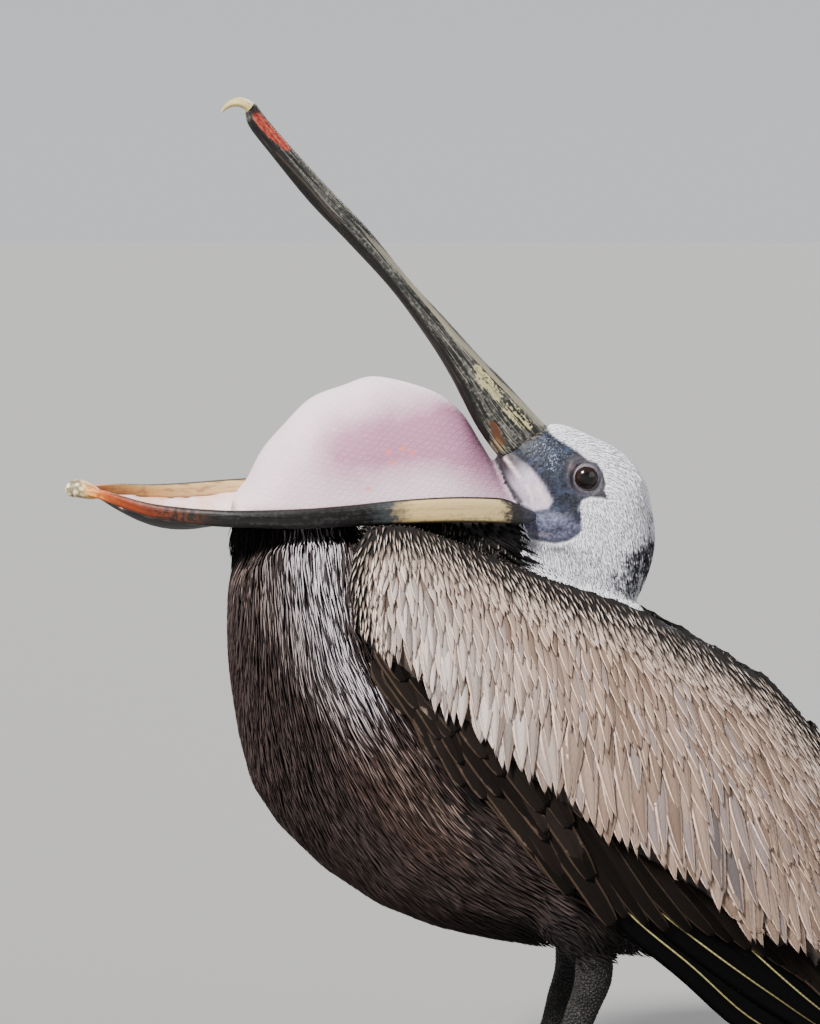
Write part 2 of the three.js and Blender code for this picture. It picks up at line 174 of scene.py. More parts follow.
def loft(rows, around, along, section=oval):
    """Closed body over stations [back x, back z, belly x, belly z, half width, side shift]."""
    st = smooth_rows([r + [0] * (6 - len(r)) for r in rows], along + 1)
    across, up = section(np.arange(around) / around * 2 * np.pi)
    centre_x, centre_z = (st[:, 0] + st[:, 2]) / 2, (st[:, 1] + st[:, 3]) / 2
    reach_x, reach_z = (st[:, 0] - st[:, 2]) / 2, (st[:, 1] - st[:, 3]) / 2
    x = centre_x[:, None] + up * reach_x[:, None]
    z = centre_z[:, None] + up * reach_z[:, None]
    y = st[:, 5][:, None] + across * st[:, 4][:, None]
    rings = np.stack([x, y, z], 2)
    points = np.concatenate([rings.reshape(-1, 3), rings[[0, -1]].mean(1)])
    return points, outward(points, ring_faces(around, along))


# %% Faces and directions
def ring_faces(around, along):
    """Triangles between along + 1 rings of points, closed at both ends by the two points that come last."""
    i, k = np.meshgrid(np.arange(along), np.arange(around), indexing="ij")
    a, b = (i * around + k).ravel(), (i * around + (k + 1) % around).ravel()
    ring = np.arange(around)
    after = (ring + 1) % around
    end = along * around
    first_point = np.full(around, end + around)
    return np.concatenate([np.stack([a, b, a + around], 1), np.stack([b, b + around, a + around], 1),
                           np.stack([first_point, after, ring], 1),
                           np.stack([first_point + 1, end + ring, end + after], 1)])


def unit(vectors, least=0.0):
    """Vectors made one long. Those shorter than least stay short."""
    return vectors / np.maximum(np.linalg.norm(vectors, axis=-1, keepdims=True), least)


def outward(points, faces):
    """The same faces, turned round if they enclose a negative volume."""
    a, b, c = (points[faces[:, i]] for i in range(3))
    return faces[:, ::-1] if np.einsum("ij,ij->", a, np.cross(b, c)) < 0 else faces


# %% From tables to the model
def from_table(points):
    """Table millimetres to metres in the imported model's frame."""
    return (np.asarray(points, float) - (ORIGIN_X, 0, 0)) * MM


def from_head(points):
    """Head-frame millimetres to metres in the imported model's frame."""
    x, y, z = np.asarray(points, float).T
    turned = np.stack([x, y * math.cos(LEAN) + z * math.sin(LEAN),
                       z * math.cos(LEAN) - y * math.sin(LEAN) + JAW_LEVEL], 1)
    return from_table(turned)


def to_head(points):
    """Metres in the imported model's frame to head-frame millimetres."""
    x, y, z = (np.asarray(points, float) / MM + (ORIGIN_X, 0, -JAW_LEVEL)).T
    return np.stack([x, y * math.cos(LEAN) - z * math.sin(LEAN), y * math.sin(LEAN) + z * math.cos(LEAN)], 1)


def flank(points, head=False):
    """The side view's places with the right side mirrored to the left, in the body's or the head's frame."""
    if not head:
        return side_view(np.asarray(points) * (1, 0, 1) + np.abs(points) * (0, 1, 0))
    local = to_head(points)
    local[:, 1] = np.abs(local[:, 1])
    return side_view(from_head(local))


# %% Meshes from arrays
def mesh_of(name, points, faces, **attributes):
    """A smooth-shaded mesh from arrays. Each attribute has one number for each point."""
    mesh = bpy.data.meshes.new(name)
    points, faces = np.asarray(points, np.float32), np.asarray(faces, np.int32)
    mesh.vertices.add(len(points))
    mesh.vertices.foreach_set("co", points.ravel())
    mesh.loops.add(faces.size)
    mesh.loops.foreach_set("vertex_index", faces.ravel())
    mesh.polygons.add(len(faces))
    mesh.polygons.foreach_set("loop_start", np.arange(0, faces.size, faces.shape[1], dtype=np.int32))
    mesh.update(calc_edges=True)
    mesh.shade_smooth()
    for key, values in attributes.items():
        add_mark(mesh, key, values)
    return mesh


def add_mark(mesh, key, values):
    """One number for each point, which a finish can read by its key."""
    mark = mesh.attributes.new(key, "FLOAT", "POINT")
    mark.data.foreach_set("value", np.asarray(values, np.float32))


def add_map(mesh, key, coordinates):
    """A UV map from one pair of numbers for each point."""
    corner = np.empty(len(mesh.loops), np.int32)
    mesh.loops.foreach_get("vertex_index", corner)
    layer = mesh.uv_layers.new(name=key)
    layer.uv.foreach_set("vector", np.asarray(coordinates, np.float32)[corner].ravel())


def arrays_of(mesh):
    """Points and triangles of a mesh."""
    mesh.calc_loop_triangles()
    points = np.empty(len(mesh.vertices) * 3, np.float32)
    mesh.vertices.foreach_get("co", points)
    faces = np.empty(len(mesh.loop_triangles) * 3, np.int32)
    mesh.loop_triangles.foreach_get("vertices", faces)
    return points.reshape(-1, 3).astype(float), faces.reshape(-1, 3)


def piece(name, mesh, finish, slot, *stands_for):
    """A shown piece: it rides on the one body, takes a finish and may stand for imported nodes."""
    ob = shown(name, mesh)
    if finish is not None:
        mesh.materials.append(finish)
    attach(ob, "root")
    if stands_for:
        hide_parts(*stands_for)
    mesh.calc_loop_triangles()
    print(name, len(mesh.loop_triangles), "triangles")


# %% [markdown]
# ## Helpers for finishes
# A finish is a small sum: dark horn plus a bit of streak, minus some wear. Wrapping a node's socket in a
# class lets us write that sum as ordinary arithmetic. Each plus or times adds one Math node. Colours must
# not pass through Math nodes, which would turn them grey, so they are mixed by a Mix node instead.

# %% Node arithmetic
OBJECT_PLACE, ATTRIBUTE_NUMBER = 3, 2


class Wire:
    """One output socket of a material's nodes, for use in arithmetic."""

    def __init__(self, tree, socket=None):
        self.tree, self.socket = tree, socket

    def node(self, kind, settings=None, sockets=None, out=0):
        """Any node: its type, its settings, then the values or links of its sockets."""
        made = self.tree.nodes.new(kind)
        for key, value in (settings or {}).items():
            if key == "stops":
                ramp = made.color_ramp.elements
                while len(ramp) < len(value):
                    ramp.new(0.5)
                for element, (place, colour) in zip(ramp, value):
                    element.position, element.color = place, colour
            else:
                setattr(made, key, value)
        for key, value in (sockets or {}).items():
            if isinstance(value, Wire):
                self.tree.links.new(value.socket, made.inputs[key])
            else:
                made.inputs[key].default_value = value
        return Wire(self.tree, made.outputs[out])

    def sum(self, operation, *values):
        return self.node("ShaderNodeMath", {"operation": operation}, dict(enumerate(values)))

    def __add__(self, other):
        return self.sum("ADD", self, other)

    __radd__ = __add__

    def __mul__(self, other):
        return self.sum("MULTIPLY", self, other)

    __rmul__ = __mul__

    def __sub__(self, other):
        return self.sum("SUBTRACT", self, other)

    def __rsub__(self, other):
        return self.sum("SUBTRACT", other, self)

    def step(self, low, high):
        """0 below low, 1 above high, and a smooth rise between."""
        return self.node("ShaderNodeMapRange", {"interpolation_type": "SMOOTHSTEP"}, {0: self, 1: low, 2: high})

    def mark(self, key):
        """The number that each point of the mesh keeps under this key."""
        return self.node("ShaderNodeAttribute", {"attribute_name": key}, out=ATTRIBUTE_NUMBER)

    def grain(self, scale, detail, stretch=(1, 1, 1)):
        """Noise between 0 and 1 over the piece's own coordinates."""
        place = self.node("ShaderNodeTexCoord", out=OBJECT_PLACE)
        place = self.node("ShaderNodeVectorMath", {"operation": "MULTIPLY"}, {0: place, 1: stretch})
        return self.node("ShaderNodeTexNoise", None, {"Vector": place, "Scale": scale, "Detail": detail})

    def mix(self, share, first, second):
        """Two colours mixed by share: 0 gives the first, 1 the second. A plain triple goes through paint."""
        first, second = (paint(*colour) if isinstance(colour, tuple) else colour for colour in (first, second))
        return self.node("ShaderNodeMix", {"data_type": "RGBA"}, {0: share, 6: first, 7: second}, out=2)

    def coats(self, colour, *coats):
        """A colour with coats laid over it in turn, each one a share and a colour."""
        for share, coat in coats:
            colour = self.mix(share, colour, coat)
        return colour


# %% Colours and materials
LAMPLIGHT = 2.2
BRIGHTEST = 0.92
SEEN = [0, 0.055, 0.098, 0.162, 0.210, 0.282, 0.394, 0.498, 0.678, 0.786, 0.874, 0.913, 0.935, 1]
GIVEN = [0, 0.005, 0.01, 0.02, 0.03, 0.05, 0.1, 0.18, 0.5, 1, 2, 3, 4, 6]


def paint(red, green, blue):
    """The share of light that a surface gives back to look like this colour, 0 to 255, in full light."""
    share = np.interp(np.array([red, green, blue]) / 255, SEEN, GIVEN) / LAMPLIGHT
    share *= min(1, BRIGHTEST / share.max())
    return (*share.tolist(), 1.0)


def finish(name, build, **constants):
    """A material whose constants sit on the shader and whose build(wire) returns what varies: a colour, a
    roughness and, where it has relief, the relief's wire and its height in metres."""
    material = bpy.data.materials.new(name)
    material.use_nodes = True
    tree = material.node_tree
    shader = tree.nodes["Principled BSDF"]
    for key, value in constants.items():
        shader.inputs[key.replace("_", " ")].default_value = value
    colour, roughness, *relief = build(Wire(tree))
    tree.links.new(colour.socket, shader.inputs["Base Color"])
    tree.links.new(roughness.socket, shader.inputs["Roughness"])
    if relief:
        bump = Wire(tree).node("ShaderNodeBump", None, {"Height": relief[0], "Distance": relief[1]})
        tree.links.new(bump.socket, shader.inputs["Normal"])
    return material


# %% [markdown]
# ## Markings
# A marking has an outline, such as the bare face of the bird. It is stored as a number at each point of the
# mesh, 1 inside and 0 outside with a soft edge, worked out from a short outline in the side view. Skin and
# feathers ask the same functions, so that a marking runs on from one to the other.

# %% Outlines and lines
def distance_to_line(places, line, closed=False):
    """Distance of each place to a line of points, in squares of the side view."""
    line = np.array(line, float)
    ends = np.roll(line, -1, 0) if closed else line[1:]
    starts = line if closed else line[:-1]
    best = np.full(len(places), 1e9)
    for a, b in zip(starts, ends):
        t = np.clip(((places - a) @ (b - a)) / max((b - a) @ (b - a), 1e-9), 0, 1)
        best = np.minimum(best, np.linalg.norm(places - a - t[:, None] * (b - a), axis=1))
    return best


def inside(places, outline):
    """Whether each place lies inside the outline, by how often a line from it crosses the border."""
    outline = np.array(outline, float)
    odd = np.zeros(len(places), bool)
    for a, b in zip(outline, np.roll(outline, -1, 0)):
        crosses = (a[1] > places[:, 1]) != (b[1] > places[:, 1])
        reach = a[0] + (places[:, 1] - a[1]) / (b[1] - a[1] + 1e-9) * (b[0] - a[0])
        odd ^= crosses & (places[:, 0] < reach)
    return odd


def ease(value):
    """0 below 0, 1 above 1, and a smooth rise between."""
    value = np.clip(value, 0, 1)
    return value * value * (3 - 2 * value)


def area(places, outline, soft):
    """1 inside the outline, 0 outside, with an edge as wide as soft on each side."""
    away = distance_to_line(places, outline, closed=True)
    return ease(0.5 + np.where(inside(places, outline), away, -away) / (2 * soft))


def line_mark(places, line, width):
    """1 on the line, fading to nothing at about twice its width."""
    return np.exp(-((distance_to_line(places, line) / width) ** 2))


# %% Outlines on the bird
FACE = [(546, 425), (552, 434), (560, 440), (570, 446), (580, 453), (588, 460), (597, 463), (603, 472),
        (606, 483), (604, 490), (610, 500), (602, 498), (590, 497), (582, 500), (580, 507), (582, 518),
        (583, 530), (578, 536), (568, 541), (555, 543), (540, 541), (525, 538), (505, 560), (440, 560),
        (440, 380), (520, 380)]
RIDGE = [(352, 640), (343, 575), (350, 540), (365, 524), (385, 517), (420, 521), (460, 535), (520, 560),
         (590, 588), (641, 601), (682, 628), (728, 645), (779, 676), (820, 720), (862, 770), (895, 860),
         (905, 950)]
COVERT_TIPS = [(365, 640), (385, 660), (405, 667), (430, 690), (445, 710), (470, 727), (495, 750), (530, 772),
               (560, 792), (590, 824), (615, 840), (647, 854), (670, 872), (705, 884), (720, 907), (745, 938),
               (785, 945), (817, 957), (860, 990), (890, 1020)]
NAPE = [(619, 557), (632, 544), (652, 531), (668, 542), (664, 566), (642, 572), (624, 568)]
NAPE_MOTTLE = [(602, 574), (622, 562), (646, 560), (668, 568), (654, 592), (636, 594), (612, 590)]
BACK_OF_HEAD_SHADE = [(648, 512), (655, 528), (657, 548)]


def below_tips(places):
    """How far each place is below the line where the pale coverts end, in squares."""
    line = np.array(COVERT_TIPS, float)
    return places[:, 1] - np.interp(places[:, 0], line[:, 0], line[:, 1])


def face_mark(points):
    """How far each point of the head is bare skin, on either side of the face."""
    return area(flank(points, head=True), FACE, 1.2)

# %% [markdown]
# ## The skin
# Under its feathers the bird has one skin, from the pouch to the webs of the feet. It is grown from the packed
# solids: each is swollen a little so that the seams between neighbours close, and a voxel remesh turns the
# overlapping bodies into one. The bare head, pouch and legs come from smooth lofts at a finer voxel. Where
# feathers grow, the skin sinks by the depth of the coat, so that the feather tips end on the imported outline.

# %% Remesh helpers
SAME_PLACE, JUST_INSIDE = 1e-5, 2e-4


def swollen(names, margin):
    """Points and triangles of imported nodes, each moved out by margin."""
    bm = bmesh.new()
    for name in names:
        bm.from_mesh(nodes[name].data)
    bmesh.ops.remove_doubles(bm, verts=bm.verts, dist=SAME_PLACE)
    bmesh.ops.triangulate(bm, faces=bm.faces)
    bm.normal_update()
    points = np.array([v.co + v.normal * margin for v in bm.verts])
    bm.verts.index_update()
    faces = np.array([[v.index for v in f.verts] for f in bm.faces])
    bm.free()
    return points, faces


def merged(bodies):
    """Several bodies of points and faces as one."""
    points, faces, start = [], [], 0
    for p, f in bodies:
        points.append(p)
        faces.append(f + start)
        start += len(p)
    return np.concatenate(points), np.concatenate(faces)


def evaluated(ob):
    """The object's mesh with its modifiers applied. The object itself is removed."""
    done = bpy.data.meshes.new_from_object(ob.evaluated_get(bpy.context.evaluated_depsgraph_get()))
    bpy.data.objects.remove(ob)
    return done


def remeshed(points, faces, voxel):
    ob = shown("form", mesh_of("form", points, faces))
    remesh = ob.modifiers.new("remesh", "REMESH")
    remesh.mode = "VOXEL"
    remesh.voxel_size = voxel
    return arrays_of(evaluated(ob))


# %% Smoothing and normals
def edges_of(faces):
    pairs = np.sort(np.concatenate([faces[:, [0, 1]], faces[:, [1, 2]], faces[:, [2, 0]]]), axis=1)
    return np.unique(pairs, axis=0)


def smoothed(points, faces, rounds, swell=0.0):
    """Each row moves half-way to the mean of its neighbours, rounds times, and by swell back out again."""
    pairs = edges_of(faces)
    a, b = pairs[:, 0], pairs[:, 1]
    count = len(points)
    share = np.bincount(a, minlength=count) + np.bincount(b, minlength=count)
    points = points.copy()
    for turn in range(rounds * (2 if swell else 1)):
        mean = np.stack([np.bincount(a, points[b, i], count) + np.bincount(b, points[a, i], count)
                         for i in range(points.shape[1])], 1) / share[:, None]
        points += (mean - points) * 0.5 * (-swell if swell and turn % 2 else 1)
    return points


def normals_of(points, faces):
    a, b, c = (points[faces[:, i]] for i in range(3))
    face = np.cross(b - a, c - a)
    normal = np.zeros_like(points)
    for i in range(3):
        for axis in range(3):
            normal[:, axis] += np.bincount(faces[:, i], face[:, axis], len(points))
    return unit(normal, 1e-12)


def tree_of(points, faces):
    return BVHTree.FromPolygons(points.tolist(), faces.tolist())


def thickness(points, normals, tree, limit):
    """How thick the body is behind each point, up to limit."""
    found = []
    for p, n in zip(points, normals):
        hit = tree.ray_cast(Vector(p - n * JUST_INSIDE), Vector(-n), limit)
        found.append(hit[3] if hit[0] is not None else limit)
    return np.array(found)


# %% Head, pouch and their lofts
HEAD = [[38.4, 51, 72.4, 34, 15], [27, 52.5, 71, 19, 20], [7, 44.5, 67, 4, 25], [-15, 33, 62, -13, 27.5],
        [-30, 15.5, 56, -31, 28.5], [-36, -5, 46, -52, 28], [-39, -31, 28, -69, 26], [-35, -52, 7, -81, 21],
        [-28, -70, -8, -83, 10]]
POUCH = [[258, -3, 258, -7, 8], [254, 4, 254, -14, 24], [247, 13, 247, -24, 35], [237, 33, 237, -44, 43],
         [223, 50, 223, -60, 47], [203, 70.5, 203, -80, 48.5], [180, 80, 180, -90, 48],
         [157, 86.5, 157, -96, 46], [119, 77, 119, -86, 41], [98, 62, 98, -70, 37], [84, 40, 84, -50, 33],
         [70, 16, 70, -30, 28],
         [60, 0, 60, -10, 20]]
POUCH_FLOOR = [[353, 4.5, 353, 2, 6], [336, 0, 336, -2.5, 17], [315, -3.5, 315, -6.5, 29],
               [294, -5, 294, -8, 38], [270, -5, 270, -8, 46], [248, -4, 248, -7.6, 49.5],
               [226, -3, 226, -7.6, 50]]
POUCH_FOOT = -8
SAG, SAG_FRONT, SAG_BACK, SAG_HALF = 14, 357, 243, (6, 50)
HEAD_VOXEL, HEAD_ROUNDS, NECK_MARGIN = 0.0022, 3, 0.0005


def slack(points):
    """The loose floor of the pouch hangs between the two sides of the jaw."""
    share = np.clip((SAG_FRONT - points[:, 0]) / (SAG_FRONT - SAG_BACK), 0, 1)
    half = np.maximum(SAG_HALF[1] * np.sin(share * math.pi / 2), SAG_HALF[0])
    points[:, 2] -= SAG * np.sin(share * math.pi) * np.maximum(0, 1 - (points[:, 1] / half) ** 2)
    return points


dome_points, dome_faces = loft(POUCH, 72, 90)
dome_points[:, 2] = np.maximum(dome_points[:, 2], POUCH_FOOT)
floor_points, floor_faces = loft(POUCH_FLOOR, 40, 50, lambda angle: oval(angle, 4))
head_points, head_faces = loft(HEAD, 72, 90)
head_form = merged([(from_head(dome_points), dome_faces), (from_head(slack(floor_points)), floor_faces),
                    (from_head(head_points), head_faces), swollen(["neck_upper"], NECK_MARGIN)])
head_points, head_faces = remeshed(*head_form, HEAD_VOXEL)
head_points = smoothed(head_points, head_faces, HEAD_ROUNDS)
print("head form", len(head_faces))

# %% Trunk, neck, thighs and wings
BODY_NODES = ["trunk", "neck_base", "neck_upper", "thigh_left", "thigh_right", "wing_left", "wing_right"]
BODY_VOXEL, BODY_MARGIN, BODY_ROUNDS, BODY_SWELL = 0.0046, 0.0006, 26, 1.02
body_points, body_faces = remeshed(*swollen(BODY_NODES, BODY_MARGIN), BODY_VOXEL)
body_points = smoothed(body_points, body_faces, BODY_ROUNDS, BODY_SWELL)
print("body form", len(body_faces))

# %% Legs and webbed feet
SHANK = [[-7, 112, 19, 112, 8], [-8, 92, 18, 95, 11], [-7, 75, 19, 74, 10], [1, 56, 25, 55, 8],
         [9, 38, 30, 37, 7], [15, 22, 37, 20, 7.5], [18, 12, 44, 10, 8.5], [22, 4, 42, 3, 7]]
TOES = [(-88, 34, 4.4, 2.6), (-27, 70, 5.4, 3.2), (3, 96, 6, 3.4), (29, 90, 5.6, 3.2)]
CLAW_LENGTH = 10
FOOT_X, STANCE, SHANK_TOP = 30, 50, 90
LEG_VOXEL, WEB_MARGIN, LEG_ROUNDS = 0.0015, 0.0003, 4
TOE_JOINTS, TOE_STATIONS, KNUCKLE = 4, 9, 0.1
LEGS = {"left": (1, 0, 0), "right": (-1, 12, 8)}


def placed_on_leg(points, side, step):
    """Leg millimetres to metres: the left leg as it is, the right one mirrored and a step ahead."""
    return from_table(points * (1, side, 1) + (step, side * STANCE, 0))


def turned(points, heading):
    """A toe, drawn straight ahead, turned to its heading about the foot's middle."""
    c, s = math.cos(math.radians(heading)), math.sin(math.radians(heading))
    x, y, z = points.T
    return np.stack([x * c - y * s + FOOT_X, x * s + y * c, z], 1)


def toe_rows(length, root, tip):
    rows = []
    for share in np.linspace(0, 1, TOE_STATIONS).tolist():
        radius = (root + (tip - root) * share) * (1 + KNUCKLE * math.cos(share * 2 * TOE_JOINTS * math.pi))
        rows.append([share * length, radius * 1.7, share * length, -radius * 0.4, radius])
    return rows + [[length + tip * 0.8, tip, length + tip * 0.8, 0, tip * 0.4]]


def leg_form(name):
    side, reach, step = LEGS[name]
    carry = lambda z: (reach - step) * min(z / SHANK_TOP, 1)
    shank = [[bx + carry(bz), bz, vx + carry(vz), vz, half] for bx, bz, vx, vz, half in SHANK]
    points, faces = loft(shank, 40, 60)
    bodies = [(placed_on_leg(points, side, step), faces), swollen([f"foot_{name}"], WEB_MARGIN)]
    for heading, length, root, tip in TOES:
        points, faces = loft(toe_rows(length, root, tip), 24, 60)
        bodies.append((placed_on_leg(turned(points, heading), side, step), faces))
    bodies = [(p, outward(p, f)) for p, f in bodies]
    points, faces = remeshed(*merged(bodies), LEG_VOXEL)
    points = smoothed(points, faces, LEG_ROUNDS)
    points[:, 2] = np.maximum(points[:, 2], 0)
    return points, faces


legs = {name: leg_form(name) for name in LEGS}
print("leg forms", [len(f) for _, f in legs.values()])

# %% Sink the feathered skin by the depth of the coat
THICKEST, DEEPEST_SHARE = 0.03, 0.33
COAT = {"trunk": 0.0044, "neck_base": 0.0030, "neck_upper": 0.0026, "wing": 0.0040, "thigh": 0.0040,
        "head": 0.0016}
PLUMAGE_NODES = {"trunk": ["trunk"], "neck_base": ["neck_base"], "neck_upper": ["neck_upper"],
                 "wing": ["wing_left", "wing_right"], "thigh": ["thigh_left", "thigh_right"], "head": ["head"],
                 "pouch": ["pouch"], "leg": ["shank_left", "shank_right", "foot_left", "foot_right"]}
plumage_forms = [swollen(names, 0) for names in PLUMAGE_NODES.values()]
plumage_tree = tree_of(*merged(plumage_forms))
plumage_names = np.repeat(list(PLUMAGE_NODES), [len(faces) for _, faces in plumage_forms])


def nearest_plumage(points):
    """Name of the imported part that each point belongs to."""
    return plumage_names[[plumage_tree.find_nearest(p)[2] for p in np.asarray(points).tolist()]]


def sunk(points, faces, depth, rounds):
    """The points moved inwards by depth, softened over rounds, but never by more than a share of the body."""
    depth = smoothed(depth[:, None], faces, rounds)[:, 0]
    normals = normals_of(points, faces)
    room = thickness(points, normals, tree_of(points, faces), THICKEST)
    return points - normals * np.minimum(depth, DEEPEST_SHARE * room)[:, None]


kind = nearest_plumage(body_points)
body_depth = np.array([COAT.get(key, 0.0) for key in kind])
body_points = sunk(body_points, body_faces, body_depth, 6)

head_kind = nearest_plumage(head_points)
feathered = 1 - face_mark(head_points)
feathered *= head_kind != "pouch"
head_depth = np.where(head_kind == "neck_upper", COAT["neck_upper"], COAT["head"]) * feathered
head_points = sunk(head_points, head_faces, head_depth, 4)
print("coat depth", round(float(body_depth.mean()) / MM, 2), "mm")


# %% Join all of it to one skin
def joined(first, *others):
    """One closed mesh round several overlapping ones."""
    ob = shown("skin_form", mesh_of("skin_form", *first))
    extra = []
    for points, faces in others:
        other = shown("skin_part", mesh_of("skin_part", points, faces))
        union = ob.modifiers.new("union", "BOOLEAN")
        union.operation, union.solver, union.object = "UNION", "MANIFOLD", other
        extra.append(other)
    done = evaluated(ob)
    for other in extra:
        bpy.data.objects.remove(other)
    return done


skin_mesh = joined((body_points, body_faces), (head_points, head_faces), *legs.values())
print("skin", len(skin_mesh.polygons))

# %% [markdown]
# ## Folds of the face
# A pelican's face is bare. A raised ring of lid holds the eye, a soft fold fills the corner of the mouth and
# creases run round the cheek. These are too fine for the voxels, so the mesh is first split around the eyes.
# Then each point near a drawn line moves along its normal: out for a fold, in for a crease.

# %% Finer mesh round the eyes
EYE_CENTRE = np.array([10.2, 17.6, 19.5])
EYE_RADIUS = 9.8
EYE_OPENING = 7.9
OFF_MIDDLE, NOWHERE_NEAR = 10, 99
FINE_RING, FINEST_RING, GAPE_REACH = 19, 13.5, 6


def from_eye(points):
    """Distance in millimetres from the line that looks straight out of the eye."""
    local = to_head(points)
    away = np.hypot(local[:, 0] - EYE_CENTRE[0], local[:, 2] - EYE_CENTRE[2])
    return np.where(np.abs(local[:, 1]) > OFF_MIDDLE, away, NOWHERE_NEAR)


def split_near(mesh, chosen):
    """Every edge between two chosen points is cut in half."""
    bm = bmesh.new()
    bm.from_mesh(mesh)
    bmesh.ops.triangulate(bm, faces=bm.faces)
    points = np.array([v.co for v in bm.verts])
    near = chosen(points)
    bm.verts.index_update()
    edges = [e for e in bm.edges if near[e.verts[0].index] and near[e.verts[1].index]]
    bmesh.ops.subdivide_edges(bm, edges=edges, cuts=1, use_grid_fill=True)
    bmesh.ops.triangulate(bm, faces=bm.faces)
    bm.to_mesh(mesh)
    bm.free()


split_near(skin_mesh, lambda points: from_eye(points) < FINE_RING)
split_near(skin_mesh, lambda points: from_eye(points) < FINEST_RING)
GAPE_LINE = [(489, 447), (500, 470), (510, 487), (521, 502)]


def by_the_gape(points):
    close = distance_to_line(flank(points, head=True), GAPE_LINE) < GAPE_REACH
    return close & (np.abs(to_head(points)[:, 1]) > OFF_MIDDLE)


split_near(skin_mesh, by_the_gape)
skin_points, skin_faces = arrays_of(skin_mesh)
skin_kind = nearest_plumage(skin_points)
on_head = np.isin(skin_kind, ["head", "pouch"])
print("skin with eyelids", len(skin_faces))

# %% Lids, folds and creases
# Each fold is a line, its width in squares and its height in millimetres, which is less than 0 for a crease.
FACE_RELIEF = [
    ([(503, 456), (514, 471), (526, 488), (540, 506)], 6.0, 1.5),
    ([(490, 450), (500, 470), (510, 487), (521, 503)], 2.6, -1.3),
    ([(513, 450), (530, 470), (545, 490), (552, 505), (560, 516)], 2.6, -1.1),
    ([(524, 541), (545, 546), (566, 542), (580, 531)], 2.8, -1.0),
    ([(556, 551), (575, 556), (592, 554)], 3.0, -1.6),
    ([(548, 530), (566, 524), (578, 512)], 7.0, 1.0),
    ([(562, 452), (569, 462), (566, 476), (568, 490), (578, 497)], 2.0, -0.7),
    ([(556, 458), (561, 472), (559, 488), (566, 502)], 2.4, 0.5),
    ([(600, 470), (606, 484), (609, 498)], 2.0, -0.5),
    ([(545, 470), (556, 490), (566, 512)], 3.0, -0.6),
    ([(530, 512), (548, 520), (563, 533)], 2.2, -0.6),
    ([(548, 429), (535, 434), (520, 440), (510, 447)], 4.0, 1.3),
    ([(524, 517), (540, 519), (556, 521)], 9.0, 3.2),
]


def ridge_at(away, middle, width):
    """1 at the middle distance, fading to nothing at about twice the width."""
    return np.exp(-((away - middle) / width) ** 2)


def shaped_lids(points):
    """The skin drawn over the eyeball as a raised ring of lid with two fine folds, and tucked in behind it."""
    local = to_head(points)
    side = np.sign(local[:, 1])
    away = from_eye(points)
    out = np.abs(local[:, 1])
    ball = EYE_CENTRE[1] + np.sqrt(np.maximum(EYE_RADIUS ** 2 - np.minimum(away, 9.2) ** 2, 0))
    lid = ball + 0.95 * ridge_at(away, 9.0, 1.1) + 0.15
    blend = 1 - ease((away - 8.8) / 3.6)
    folds = 0.45 * ridge_at(away, 12.2, 0.8) + 0.3 * ridge_at(away, 10.6, 0.45)
    raised = out + (lid - out) * blend - folds
    raised = np.where(away < EYE_OPENING, ball - 2.5, raised)
    local[:, 1] = side * np.where(away < 15, raised, out)
    return from_head(local)


skin_points[on_head] = shaped_lids(skin_points[on_head])
skin_normals = normals_of(skin_points, skin_faces)
places = flank(skin_points, head=True)
relief = np.zeros(len(skin_points))
for line, width, height in FACE_RELIEF:
    relief += height * line_mark(places, line, width)
sides_only = ease((np.abs(to_head(skin_points)[:, 1]) - 6) / 8) * on_head
skin_points += skin_normals * (relief * sides_only * MM)[:, None]
print("deepest fold", round(float(relief.min()), 2), "highest", round(float(relief.max()), 2), "mm")

# %% [markdown]
# ## Marks and finish of the skin
# The pouch is pale pink and a little see-through at its middle, the face slate blue, the fold at the mouth
# whitish pink and the legs grey-black with small round scales. The skin under the feathers takes the feathers'
# own dark or white tone, so that no bright gap shows between two of them.

# %% Outlines on face and pouch
GAPE_FOLD = [(491, 449), (511, 450), (530, 466), (545, 485), (553, 501), (548, 509), (534, 511), (520, 503),
             (510, 487), (500, 470)]
FOLD_HIGHLIGHTS = [[(527, 486), (533, 503)], [(537, 486), (547, 504)], [(505, 458), (520, 478)]]
JAW_CORNER = [(506, 506), (530, 512), (556, 514), (584, 524), (582, 534), (564, 545), (520, 538), (500, 524)]
EYE_PATCH = [(564, 462), (580, 452), (600, 464), (607, 484), (612, 502), (596, 498), (576, 494), (566, 480)]
JAW_SPREAD = [(43, 27), (54, 29), (75, 35), (105, 42), (140, 47), (175, 50), (210, 53), (248, 51), (270, 46.5),
              (294, 38), (315, 29.5), (336, 18), (350, 8), (363, 2.5)]
WARTS = [(392, 463), (368, 489), (402, 449), (412, 453), (388, 452)]


# %% Marks on the skin
def wrinkled(places, lines, width):
    """The strongest of several line marks."""
    return np.max([line_mark(places, line, width) for line in lines], 0)


def nape_and_head_shade(places):
    """Dark patch at the nape and lighter mottling below it, the bird's own colour, and painted shade in grey up
    the back of the head along its outer contour.
    """
    return np.max([0.9 * area(places, NAPE, 10), 0.72 * area(places, NAPE_MOTTLE, 12),
                   0.62 * line_mark(places, BACK_OF_HEAD_SHADE, 9)], 0)


